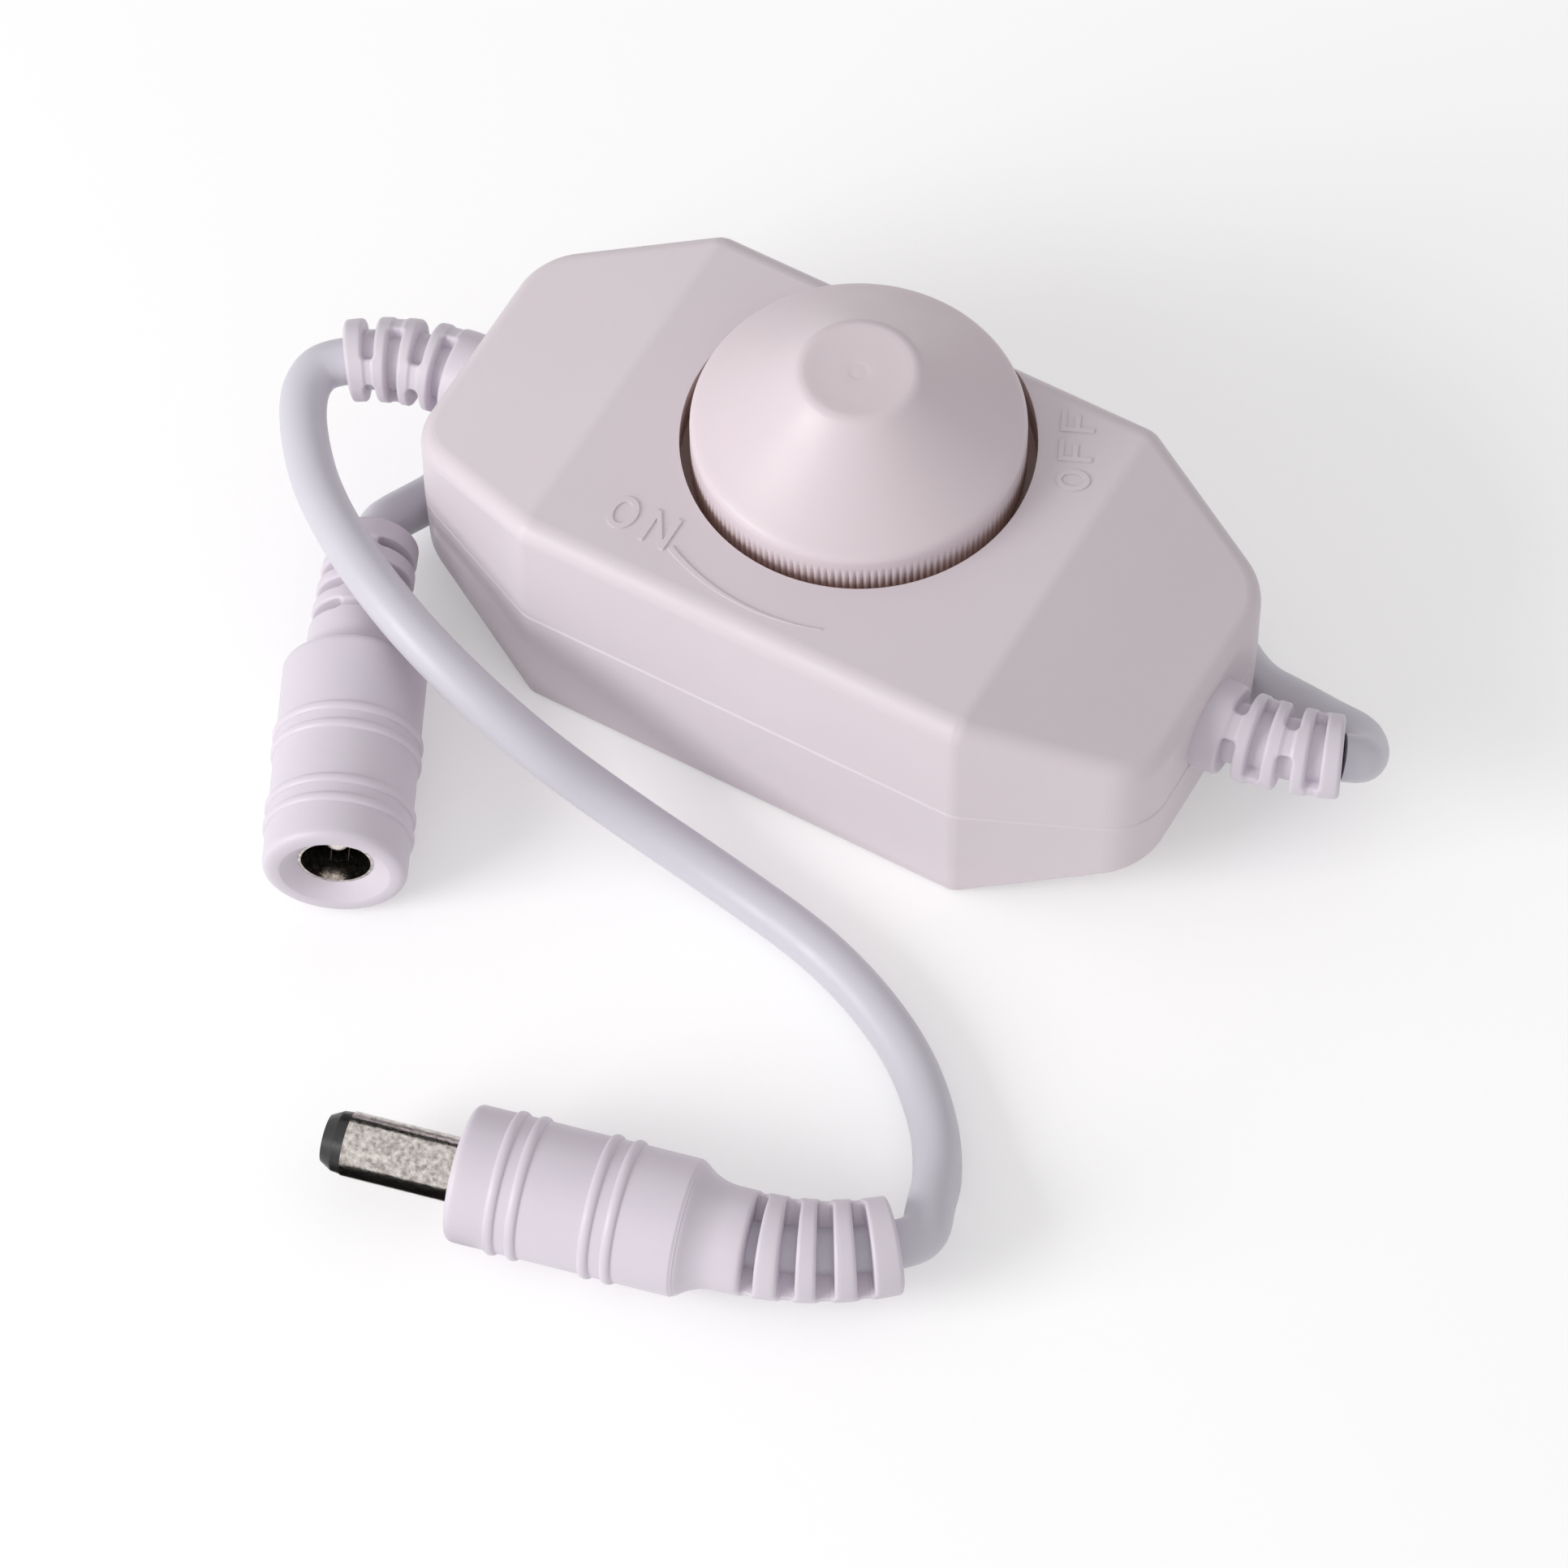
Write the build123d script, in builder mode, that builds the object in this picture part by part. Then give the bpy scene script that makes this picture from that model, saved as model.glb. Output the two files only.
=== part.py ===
from build123d import *
import math
import os

os.makedirs("parts", exist_ok=True)

# LED strip dimmer: an in-line rotary dimmer with a cord and a barrel connector at each end.
# Lengths are in millimetres and angles in degrees. The case stands on the plane z = 0 with
# its centre over the origin, X runs along the case and the knob side faces up.

# Case form
case_length = 71.0
case_width = 35.3
case_height = 25.5
long_side = 41.2
end_width = 22.2
parting_height = 12.6
end_top_drop = 5.3
end_bottom_height = 6.4
wall = 1.7
end_corner_radius = 5.5
side_corner_radius = 2.4
top_edge_radius = 1.8
crease_radius = 2.5
base_edge_radius = 0.4
base_draft = 1.77
seam_edge = 0.22

# Joint between the two covers
lip_inset = 0.9
lip_height = 1.4
lip_clearance = 0.1
bond_depth = 0.8

# Screws that hold the covers together
boss_x = 23.2
boss_y = 11.2
boss_radius = 2.8
boss_seat_height = 6.4
boss_edge = 0.3
screw_radius = 1.2
screw_length = 9.0
screw_head_radius = 2.2
screw_head_height = 1.6
screw_clearance = 0.3
thread_clearance = 0.02
screw_seat_thickness = 2.6
screw_hole_spare = 1.0
cross_width = 0.6
cross_depth = 0.9
cross_span = 2.6

# Knob and the well that it turns in
knob_aside = -0.4
knob_offset = 4.2
knob_radius = 14.15
knob_gap = 0.9
knob_rise = 10.1
knob_shoulder_rise = 1.3
knob_band_rise = 2.7
knob_band_edge = 1.1
knob_top_radius = 5.0
knob_dish = 0.25
knob_hollow = 0.25
knob_wall = 1.7
knob_hub_radius = 5.2
knob_floor_gap = 0.6
knob_edge_radius = 0.9
knurl_count = 148
knurl_depth = 0.28
well_wall = 1.5
well_depth = 3.9
well_floor_thickness = 1.6
well_edge = 0.25

# Rotary potentiometer
shaft_radius = 3.0
shaft_top_gap = 2.6
shaft_flat = 1.5
shaft_clearance = 0.05
bushing_radius = 3.5
bushing_rise = 3.2
bushing_clearance = 0.1
nut_across_flats = 10.0
nut_thickness = 2.0
washer_radius = 5.6
washer_thickness = 0.5
hub_clearance = 0.5
can_radius = 8.25
can_height = 6.2
can_sheet = 0.5
wafer_thickness = 1.2
wafer_tongue_width = 13.0
wafer_tongue_reach = 11.5
track_inner_radius = 4.2
track_outer_radius = 6.2
track_thickness = 0.15
track_gap_angle = 60.0
rotor_radius = 6.6
rotor_thickness = 1.2
rotor_gap = 0.4
wiper_gap = 0.15
wiper_width = 1.2
wiper_sheet = 0.3
stop_angle = 24.0
stop_depth = 0.8
lug_angle = 36.0
lug_reach = 0.6
stop_margin = 10.0
terminal_pitch = 5.0
terminal_width = 1.2
terminal_sheet = 0.4

# Circuit board and what it carries
board_length = 37.0
board_width = 27.0
board_thickness = 1.6
board_height = 7.0
board_post_x = 16.0
board_post_y = 11.0
board_post_radius = 2.3
board_screw_radius = 0.9
board_screw_length = 5.0
board_screw_head_radius = 1.7
board_screw_head_height = 1.2
board_screw_hole_spare = 0.5
pin_stub = 1.0
capacitor_radius = 3.15
capacitor_height = 10.0
capacitor_edge = 0.3
capacitor_x = -12.0
capacitor_y = -7.0
capacitor_pitch = 2.5
lead_wire_radius = 0.3
lead_hole_clearance = 0.1
transistor_length = 6.6
transistor_width = 6.1
transistor_height = 2.3
transistor_draft = 5
transistor_x = 10.5
transistor_y = -7.5
tab_thickness = 0.5
tab_reach = 2.6
tab_inset = 0.5
chip_length = 9.4
chip_width = 6.3
chip_height = 3.3
chip_x = 1.5
chip_y = 1.0
chip_pin_pitch = 2.54
chip_pin_width = 0.5
chip_lift = 0.4
diode_radius = 1.35
diode_length = 5.2
diode_x = 8.0
diode_y = 9.5
resistor_radius = 1.1
resistor_length = 6.0
resistor_pitch = 3.2
resistor_x = -8.5
resistor_y = 8.2
axial_span = 9.0
axial_lift = 0.3

# Cord, its two cores and the soft glands in the end walls
cord_radius = 2.05
cord_seat = 0.03
core_radius = 0.65
core_spacing = 0.95
core_joint_height = 0.8
core_joint_radius = 1.3
core_joint_slope = 30
core_pad_x = 16.2
core_pad_y = 3.4
core_lead = 3.0
core_bend_reach = 4.0
core_bend_inset = 0.7
core_bend_rise = 1.5
core_drop = 2.2
cord_tail = 3.2
cord_exit_run = 1.85
cord_entry_run = 1.65
gland_height = 14.6
gland_neck_radius = 3.6
gland_fit = 0.05
gland_flange_radius = 4.15
gland_flange_thickness = 1.5
gland_turn_left = 33.0
gland_turn_right = 22.8
gland_base_radius = 4.0
gland_tip_radius = 3.55
gland_rings = [2.1, 1.0, 1.1, 1.1, 1.6]
gland_gaps = [1.2, 1.2, 1.2, 1.1]
gland_bridge = 2.6
gland_bridge_left = 45.0
gland_bridge_right = 24.0
gland_bridge_step = 90.0
ring_edge = 0.2

# Barrel plug
plug_face = Vector(0.1, -63.6, 6.17)
plug_heading = 13.3
plug_radius = 5.8
plug_body_length = 19.45
plug_taper_length = 3.2
plug_neck_length = 0.75
plug_ridges = [3.95, 5.95, 12.0, 14.1]
plug_turn = 28.0
plug_bridge_angle = 118.6
plug_relief_rings = [1.2, 1.7, 1.5, 1.6, 2.2]
plug_relief_gaps = [1.0, 1.3, 1.35, 1.25]
plug_relief_tip_radius = 4.1
barrel_radius = 2.75
barrel_sheet = 0.35
barrel_length = 9.7
barrel_depth = 6.0
barrel_root_radius = 3.3
tip_length = 1.9
tip_step = 0.1
tip_end_radius = 2.0
tip_chamfer_length = 1.0
plug_bore_radius = 1.1
contact_wall = 0.25

# Barrel jack
jack_face = Vector(-23.6, -44.4, 6.52)
jack_heading = 115.9
jack_radius = 6.15
jack_body_length = 20.0
jack_taper_length = 2.3
jack_neck_length = 0.3
jack_ridges = [3.9, 5.75, 11.2, 12.95]
jack_turn = 7.0
jack_bridge_angle = 133.7
jack_relief_rings = [1.55, 1.3, 1.2, 1.5, 2.0]
jack_relief_gaps = [0.9, 0.9, 0.9, 0.85]
jack_relief_tip_radius = 3.85
mouth_radius = 4.65
mouth_depth = 1.2
socket_radius = 3.2
socket_sheet = 0.25
socket_depth = 11.0
socket_floor_thickness = 2.0
jack_pin_radius = 1.05
jack_pin_recess = 2.7
jack_pin_tip_radius = 0.6
spring_length = 5.6
spring_width = 1.4
spring_sheet = 0.2
spring_start = 3.2
spring_clearance = 0.1

# Both connectors
face_edge_radius = 0.7
ridge_height = 0.35
ridge_width = 0.9
relief_neck_radius = 4.4
relief_bridge = 2.4
insert_clearance = 0.02

# Raised generic lettering
letter_height = 3.3
letter_width = 2.5
letter_pitch = 3.5
letter_stroke = 0.5
letter_rise = 0.15
letter_root = 0.4
on_place = (-13.9, -11.9)
off_place = (17.29, 9.18)
off_scale = 0.85
off_heading = 114.0
sweep_mark_radius = 19.4
sweep_mark_start = -116.0
sweep_mark_end = -70.0

# Lengths that follow from the sizes above
half_length = case_length / 2
half_width = case_width / 2
end_top_height = case_height - end_top_drop
well_floor_height = case_height - well_depth
well_radius = knob_radius + knob_gap
knob_bottom = well_floor_height + knob_floor_gap
knob_shoulder = case_height + knob_shoulder_rise
knob_band_top = case_height + knob_band_rise
knob_top = case_height + knob_rise
well_underside = well_floor_height - well_floor_thickness
shaft_top = knob_top - shaft_top_gap
bushing_top = well_floor_height + bushing_rise
hub_bottom = bushing_top + hub_clearance
can_bottom = well_underside - can_height
wafer_top = can_bottom + wafer_thickness
rotor_top = well_underside - can_sheet - rotor_gap
rotor_bottom = rotor_top - rotor_thickness
board_top = board_height + board_thickness
core_end_height = board_top + core_joint_height
gland_length = sum(gland_rings) + sum(gland_gaps)
plug_relief_length = sum(plug_relief_rings) + sum(plug_relief_gaps)
jack_relief_length = sum(jack_relief_rings) + sum(jack_relief_gaps)
knob_axis = Axis((knob_aside, knob_offset, 0), (0, 0, 1))


def pot_plane(height):
    """Level plane at a height, centred on the knob's axis."""
    return Plane(origin=(knob_aside, knob_offset, height))


def case_outline():
    """Plan of the case: an octagon with soft corners."""
    corners = [
        (long_side / 2, -half_width),
        (half_length, -end_width / 2),
        (half_length, end_width / 2),
        (long_side / 2, half_width),
        (-long_side / 2, half_width),
        (-half_length, end_width / 2),
        (-half_length, -end_width / 2),
        (-long_side / 2, -half_width),
    ]
    with BuildSketch() as outline:
        with BuildLine():
            Polyline(*corners, close=True)
        make_face()
        at_ends = outline.vertices().filter_by(lambda v: abs(v.X) > half_length - 0.01)
        fillet(at_ends, end_corner_radius)
        at_sides = outline.vertices().filter_by(lambda v: abs(v.Y) > half_width - 0.01)
        fillet(at_sides, side_corner_radius)
    return outline.sketch


def end_slopes(inset):
    """Wide block with the case's side view, whose ends slope above and below."""
    corners = [
        (long_side / 2, 0),
        (half_length, end_bottom_height),
        (half_length, end_top_height),
        (long_side / 2, case_height),
        (-long_side / 2, case_height),
        (-half_length, end_top_height),
        (-half_length, end_bottom_height),
        (-long_side / 2, 0),
    ]
    with BuildPart() as block:
        with BuildSketch(Plane.XZ):
            with BuildLine():
                Polyline(*corners, close=True)
            make_face()
            if inset > 0:
                offset(amount=-inset, kind=Kind.INTERSECTION)
        extrude(amount=case_width, both=True)
    return block.part


def case_form(inset):
    """The case as one block, drawn in by the inset on every face."""
    with BuildPart() as form:
        with BuildSketch():
            add(case_outline())
            if inset > 0:
                offset(amount=-inset)
        extrude(amount=case_height)
        add(end_slopes(inset), mode=Mode.INTERSECT)
    return form.part


def parting_band(inset, height):
    """Level slice of the case form that starts at the parting plane."""
    with BuildPart() as band:
        with BuildSketch(Plane.XY.offset(parting_height)):
            add(case_outline())
            offset(amount=-inset)
        extrude(amount=height)
    return band.part


def pillars(radius, low, high):
    """Four round pillars at the case screws, cut to the inside of the case walls."""
    with BuildPart() as group:
        with BuildSketch(Plane.XY.offset(low)):
            with GridLocations(2 * boss_x, 2 * boss_y, 2, 2):
                Circle(radius)
        extrude(amount=high - low)
        add(case_form(bond_depth), mode=Mode.INTERSECT)
    return group.part


def letter_o():
    """Letter O as a narrow ring."""
    with BuildSketch() as glyph:
        Ellipse(letter_width / 2, letter_height / 2)
        Ellipse(letter_width / 2 - letter_stroke, letter_height / 2 - letter_stroke, mode=Mode.SUBTRACT)
    return glyph.sketch


def letter_n():
    """Letter N from two uprights and a slanted stroke."""
    upright = letter_width / 2 - letter_stroke / 2
    top = letter_height / 2
    with BuildSketch() as glyph:
        with Locations((-upright, 0), (upright, 0)):
            Rectangle(letter_stroke, letter_height)
        with BuildLine():
            Polyline(
                (-letter_width / 2, top),
                (-letter_width / 2 + letter_stroke, top),
                (letter_width / 2, -top),
                (letter_width / 2 - letter_stroke, -top),
                close=True,
            )
        make_face()
    return glyph.sketch


def letter_f():
    """Letter F from an upright and two arms."""
    with BuildSketch() as glyph:
        with Locations((-letter_width / 2 + letter_stroke / 2, 0)):
            Rectangle(letter_stroke, letter_height)
        with Locations((0, letter_height / 2 - letter_stroke / 2)):
            Rectangle(letter_width, letter_stroke)
        with Locations((-letter_stroke / 2, 0)):
            Rectangle(letter_width - letter_stroke, letter_stroke)
    return glyph.sketch


def word(glyphs):
    """Letters in a row along X, the first one centred on the origin."""
    with BuildSketch() as row:
        for place, glyph in enumerate(glyphs):
            add(glyph.moved(Location((place * letter_pitch, 0))))
    return row.sketch


def axis_plane(start, heading, lean, turn, length, distance):
    """Plane square to an axis that leaves a point along its heading and leans over evenly."""
    bend_radius = length / math.radians(turn)
    angle = distance / bend_radius
    along = heading * (bend_radius * math.sin(angle))
    aside = lean * (bend_radius * (1 - math.cos(angle)))
    tangent = heading * math.cos(angle) + lean * math.sin(angle)
    return Plane(origin=start + along + aside, x_dir=heading.cross(lean), z_dir=tangent)


def bent_relief(place, rings, gaps, base_radius, tip_radius, bridge, bridge_angle, bridge_step):
    """Row of rings along a bent axis, each joined to the next by two opposite bridges.

    place gives the plane at a distance along the axis. The first pair of bridges stands at
    bridge_angle from that plane's X, each further pair a step on, and between them the cord
    shows through.
    """
    length = sum(rings) + sum(gaps)
    starts = [sum(rings[:i]) + sum(gaps[:i]) for i in range(len(rings))]
    with BuildPart() as relief:
        for start, ring in zip(starts, rings):
            middle = start + ring / 2
            radius = base_radius + (tip_radius - base_radius) * middle / length
            first_size = radius - ring_edge if start > 0 else radius
            for distance, size in (
                (start, first_size),
                (start + ring_edge, radius),
                (start + ring - ring_edge, radius),
                (start + ring, radius - ring_edge),
            ):
                with BuildSketch(place(distance)):
                    Circle(size)
        loft(ruled=True)
        for index, gap in enumerate(gaps):
            middle = starts[index] + rings[index] + gap / 2
            aside = bridge / 2 + base_radius / 2
            roll = Location((0, 0, 0), (0, 0, 1), bridge_angle + index * bridge_step)
            with BuildSketch(Plane(place(middle).location * roll)):
                with Locations((0, aside), (0, -aside)):
                    Rectangle(3 * base_radius, base_radius)
            extrude(amount=gap / 2, both=True, mode=Mode.SUBTRACT)
    return relief.part


def run_radii(points):
    """Arc radius for each inner point of a route, as large as its two runs allow."""
    radii = []
    for before, here, after in zip(points, points[1:], points[2:]):
        shorter = min((here - before).length, (after - here).length)
        half_turn = math.radians((here - before).get_angle(after - here)) / 2
        radii.append(0.45 * shorter / math.tan(half_turn))
    return radii


def free_cord(name, points):
    """Free stretch of cord: straight runs joined by tangent arcs."""
    radii = run_radii(points)
    with BuildPart() as cord:
        with BuildLine() as route:
            FilletPolyline(*points, radius=radii)
        start = Plane(origin=points[0], z_dir=points[1] - points[0])
        with BuildSketch(start):
            Circle(cord_radius)
        sweep()
    length = sum(edge.length for edge in route.line.edges())
    expected = math.pi * cord_radius**2 * length
    print(name, "length", round(length, 1), "radii", [round(radius, 1) for radius in radii])
    print(name, "volume", round(cord.part.volume, 1), "section times length", round(expected, 1))
    return cord.part


# Upper cover: top shell with the knob's well, screw bosses, rebate and gland slots
with BuildPart() as cover_shell:
    add(case_form(0))
    creases = cover_shell.edges().filter_by(Axis.Y)
    fillet(creases.filter_by(lambda e: e.center().Z > case_height - 0.01), crease_radius)
    high_edges = cover_shell.edges().filter_by(lambda e: e.center().Z > end_top_height - 0.01)
    inner_lines = high_edges.filter_by(Axis.Y).filter_by(lambda e: abs(e.center().X) < half_length - 0.01)
    fillet([edge for edge in high_edges if edge not in inner_lines], top_edge_radius)
    split(bisect_by=Plane.XY.offset(parting_height), keep=Keep.TOP)
    chamfer(cover_shell.edges().group_by(Axis.Z)[0], seam_edge)
    add(case_form(wall), mode=Mode.SUBTRACT)
    add(parting_band(lip_inset, lip_height + lip_clearance), mode=Mode.SUBTRACT)
    add(pillars(boss_radius, boss_seat_height, case_height))

with BuildPart() as well_block:
    with BuildSketch(pot_plane(well_underside)):
        Circle(well_radius + well_wall)
    extrude(amount=case_height - well_underside)
    add(case_form(bond_depth), mode=Mode.INTERSECT)

with BuildPart() as upper_cover:
    add(cover_shell.part)
    add(well_block.part)
    with BuildSketch(pot_plane(well_floor_height)):
        Circle(well_radius)
    extrude(amount=case_height - well_floor_height, mode=Mode.SUBTRACT)
    with BuildSketch(pot_plane(well_underside)):
        Circle(bushing_radius + bushing_clearance)
    extrude(amount=well_floor_thickness, mode=Mode.SUBTRACT)
    with BuildSketch(Plane.XY.offset(boss_seat_height)):
        with GridLocations(2 * boss_x, 2 * boss_y, 2, 2):
            Circle(screw_radius + thread_clearance)
    extrude(amount=screw_length - screw_seat_thickness + screw_hole_spare, mode=Mode.SUBTRACT)
    with BuildSketch(Plane.YZ):
        with Locations((0, gland_height)):
            Circle(gland_neck_radius + gland_fit)
        with Locations((0, (parting_height + gland_height) / 2)):
            Rectangle(2 * (gland_neck_radius + gland_fit), gland_height - parting_height)
    extrude(amount=case_length, both=True, mode=Mode.SUBTRACT)
    with BuildSketch(Plane((on_place[0], on_place[1], case_height - letter_root))):
        add(word([letter_o(), letter_n()]))
    extrude(amount=letter_root + letter_rise)
    off_way = (math.cos(math.radians(off_heading)), math.sin(math.radians(off_heading)), 0)
    with BuildSketch(Plane((off_place[0], off_place[1], case_height - letter_root), x_dir=off_way)):
        add(scale(word([letter_o(), letter_f(), letter_f()]), by=off_scale))
    extrude(amount=letter_root + letter_rise)
    with BuildSketch(pot_plane(case_height - letter_root)):
        with BuildLine():
            outer_arc = CenterArc((0, 0), sweep_mark_radius, sweep_mark_start, sweep_mark_end - sweep_mark_start)
            inner_arc = ThreePointArc(
                outer_arc @ 0 * (1 - letter_stroke / sweep_mark_radius),
                outer_arc @ 0.5 * (1 - letter_stroke / sweep_mark_radius / 2),
                outer_arc @ 1,
            )
            Line(outer_arc @ 0, inner_arc @ 0)
        make_face()
    extrude(amount=letter_root + letter_rise)
upper_cover.part.label = "upper_cover"
export_step(upper_cover.part, "parts/upper_cover.step")

# Lower cover: tray with a lip, screw posts, board posts and the lower half of each gland hole
with BuildPart() as tray:
    with BuildSketch(Plane.XY.offset(parting_height)):
        add(case_outline())
    extrude(amount=-parting_height, taper=base_draft)
    add(end_slopes(0), mode=Mode.INTERSECT)
    creases = tray.edges().filter_by(Axis.Y).filter_by(lambda e: e.center().Z < 0.01)
    fillet(creases, crease_radius)
    low_edges = tray.edges().filter_by(lambda e: e.center().Z < end_bottom_height + 0.01)
    inner_lines = low_edges.filter_by(Axis.Y).filter_by(lambda e: abs(e.center().X) < half_length - 0.01)
    upright = low_edges.filter_by(lambda e: abs(e.tangent_at(0.5).Z) > 0.5)
    fillet([edge for edge in low_edges if edge not in inner_lines + upright], base_edge_radius)
    chamfer(tray.edges().group_by(Axis.Z)[-1], seam_edge)
    add(case_form(wall), mode=Mode.SUBTRACT)

with BuildPart() as lip:
    add(parting_band(lip_inset + lip_clearance, lip_height))
    add(parting_band(wall, lip_height), mode=Mode.SUBTRACT)
    with BuildSketch(Plane.XY.offset(parting_height)):
        with GridLocations(2 * boss_x, 2 * boss_y, 2, 2):
            Circle(boss_radius + screw_clearance)
    extrude(amount=lip_height, mode=Mode.SUBTRACT)

with BuildPart() as lower_cover:
    add(tray.part)
    add(lip.part)
    add(pillars(boss_radius + boss_edge, 0, boss_seat_height))
    with BuildSketch(Plane.XY.offset(wall)):
        with GridLocations(2 * board_post_x, 2 * board_post_y, 2, 2):
            Circle(board_post_radius)
    extrude(amount=board_height - wall)
    with BuildSketch(Plane.XY.offset(board_height)):
        with GridLocations(2 * board_post_x, 2 * board_post_y, 2, 2):
            Circle(board_screw_radius + thread_clearance)
    extrude(amount=board_thickness - board_screw_length - board_screw_hole_spare, mode=Mode.SUBTRACT)
    with BuildSketch():
        with GridLocations(2 * boss_x, 2 * boss_y, 2, 2):
            Circle(screw_head_radius + screw_clearance)
    extrude(amount=boss_seat_height - screw_seat_thickness, mode=Mode.SUBTRACT)
    with BuildSketch():
        with GridLocations(2 * boss_x, 2 * boss_y, 2, 2):
            Circle(screw_radius + screw_clearance)
    extrude(amount=boss_seat_height, mode=Mode.SUBTRACT)
    with BuildSketch(Plane.YZ):
        with Locations((0, gland_height)):
            Circle(gland_neck_radius + gland_fit)
    extrude(amount=case_length, both=True, mode=Mode.SUBTRACT)
lower_cover.part.label = "lower_cover"
export_step(lower_cover.part, "parts/lower_cover.step")

# Case screws: four pan heads that enter from below
screw_seat = boss_seat_height - screw_seat_thickness
with BuildPart() as case_screws:
    with BuildSketch(Plane.XY.offset(screw_seat - screw_head_height)):
        with GridLocations(2 * boss_x, 2 * boss_y, 2, 2):
            Circle(screw_head_radius)
    extrude(amount=screw_head_height)
    with BuildSketch(Plane.XY.offset(screw_seat)):
        with GridLocations(2 * boss_x, 2 * boss_y, 2, 2):
            Circle(screw_radius)
    extrude(amount=screw_length)
    with BuildSketch(Plane.XY.offset(screw_seat - screw_head_height)):
        with GridLocations(2 * boss_x, 2 * boss_y, 2, 2):
            Rectangle(cross_span, cross_width)
            Rectangle(cross_width, cross_span)
    extrude(amount=cross_depth, mode=Mode.SUBTRACT)
case_screws.part.label = "case_screws"
export_step(case_screws.part, "parts/case_screws.step")

# Knob: hollow cone with a fine toothed rim, and a hub with a D-shaped bore
with BuildPart() as knob:
    root_radius = knob_radius - knurl_depth
    with BuildSketch(Plane(origin=(knob_aside, knob_offset, 0), x_dir=(1, 0, 0), z_dir=(0, -1, 0))) as section:
        with BuildLine():
            cone_middle = (
                (knob_radius + knob_top_radius) / 2 - knob_hollow,
                (knob_band_top + knob_top) / 2 - knob_hollow,
            )
            Polyline(
                (0, knob_top - knob_dish),
                (0, knob_bottom),
                (root_radius, knob_bottom),
                (root_radius, knob_shoulder),
                (knob_radius, knob_shoulder),
                (knob_radius, knob_band_top),
            )
            ThreePointArc((knob_radius, knob_band_top), cone_middle, (knob_top_radius, knob_top))
            Line((knob_top_radius, knob_top), (0, knob_top - knob_dish))
        make_face()
        band_corner = Vector(knob_aside + knob_radius, knob_offset, knob_band_top)
        fillet(section.vertices().sort_by_distance(band_corner)[0], knob_band_edge)
        top_corner = Vector(knob_aside + knob_top_radius, knob_offset, knob_top)
        fillet(section.vertices().sort_by_distance(top_corner)[0], knob_edge_radius)
    revolve(axis=knob_axis)
    with BuildSketch(pot_plane(knob_bottom)):
        with BuildLine():
            tooth = math.pi / knurl_count
            teeth = []
            for step in range(2 * knurl_count):
                reach = knob_radius if step % 2 else root_radius
                teeth.append((reach * math.cos(step * tooth), reach * math.sin(step * tooth)))
            Polyline(*teeth, close=True)
        make_face()
        Circle(root_radius - knob_wall / 2, mode=Mode.SUBTRACT)
    extrude(amount=knob_shoulder - knob_bottom)
    inner_radius = root_radius - knob_wall
    with BuildSketch(Plane(origin=(knob_aside, knob_offset, 0), x_dir=(1, 0, 0), z_dir=(0, -1, 0))):
        with BuildLine():
            Polyline(
                (knob_hub_radius, hub_bottom),
                (knob_hub_radius, knob_top - knob_wall - knob_dish - knob_hollow),
                (knob_top_radius + knob_wall / 2, knob_top - knob_wall - knob_dish - knob_hollow),
                (inner_radius, knob_shoulder),
                (inner_radius, knob_bottom),
                (0, knob_bottom),
                (0, hub_bottom),
                close=True,
            )
        make_face()
    revolve(axis=knob_axis, mode=Mode.SUBTRACT)
    with BuildSketch(pot_plane(hub_bottom)):
        Circle(shaft_radius + shaft_clearance)
        with Locations((0, shaft_radius + shaft_flat)):
            Rectangle(4 * shaft_radius, 2 * shaft_radius - 2 * shaft_clearance, mode=Mode.SUBTRACT)
    extrude(amount=shaft_top - hub_bottom, mode=Mode.SUBTRACT)
knob.part.label = "knob"
export_step(knob.part, "parts/knob.step")

# Potentiometer shaft: round, with a flat where the knob's hub grips it
with BuildPart() as pot_shaft:
    with BuildSketch(pot_plane(rotor_top)):
        Circle(shaft_radius)
    extrude(amount=shaft_top - rotor_top)
    with BuildSketch(pot_plane(hub_bottom)):
        with Locations((0, shaft_radius + shaft_flat)):
            Rectangle(4 * shaft_radius, 2 * shaft_radius)
    extrude(amount=shaft_top - hub_bottom, mode=Mode.SUBTRACT)
pot_shaft.part.label = "pot_shaft"
export_step(pot_shaft.part, "parts/pot_shaft.step")

# Rotor: moulded disc on the foot of the shaft, with a stop lug on its rim
with BuildPart() as pot_rotor:
    with BuildSketch(pot_plane(rotor_bottom)):
        Circle(rotor_radius)
        with BuildLine():
            lug_radius = rotor_radius + lug_reach
            lug_start = 270 - stop_angle / 2 - stop_margin - lug_angle
            lug_arc = CenterArc((0, 0), lug_radius, lug_start, lug_angle)
            Line((0, 0), lug_arc @ 0)
            Line((0, 0), lug_arc @ 1)
        make_face()
    extrude(amount=rotor_thickness)
pot_rotor.part.label = "pot_rotor"
export_step(pot_rotor.part, "parts/pot_rotor.step")

# Wiper: sprung metal finger that hangs under the rotor over the resistance track
with BuildPart() as pot_wiper:
    track_middle = (track_inner_radius + track_outer_radius) / 2
    with BuildSketch(pot_plane(rotor_bottom - wiper_sheet)):
        with Locations((0, track_middle / 2)):
            Rectangle(wiper_width, track_middle)
    extrude(amount=wiper_sheet)
    with BuildSketch(pot_plane(wafer_top + track_thickness + wiper_gap)):
        with Locations((0, track_middle - wiper_sheet / 2)):
            Rectangle(wiper_width, wiper_sheet)
    extrude(amount=rotor_bottom - wafer_top - track_thickness - wiper_gap)
pot_wiper.part.label = "pot_wiper"
export_step(pot_wiper.part, "parts/pot_wiper.step")

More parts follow.
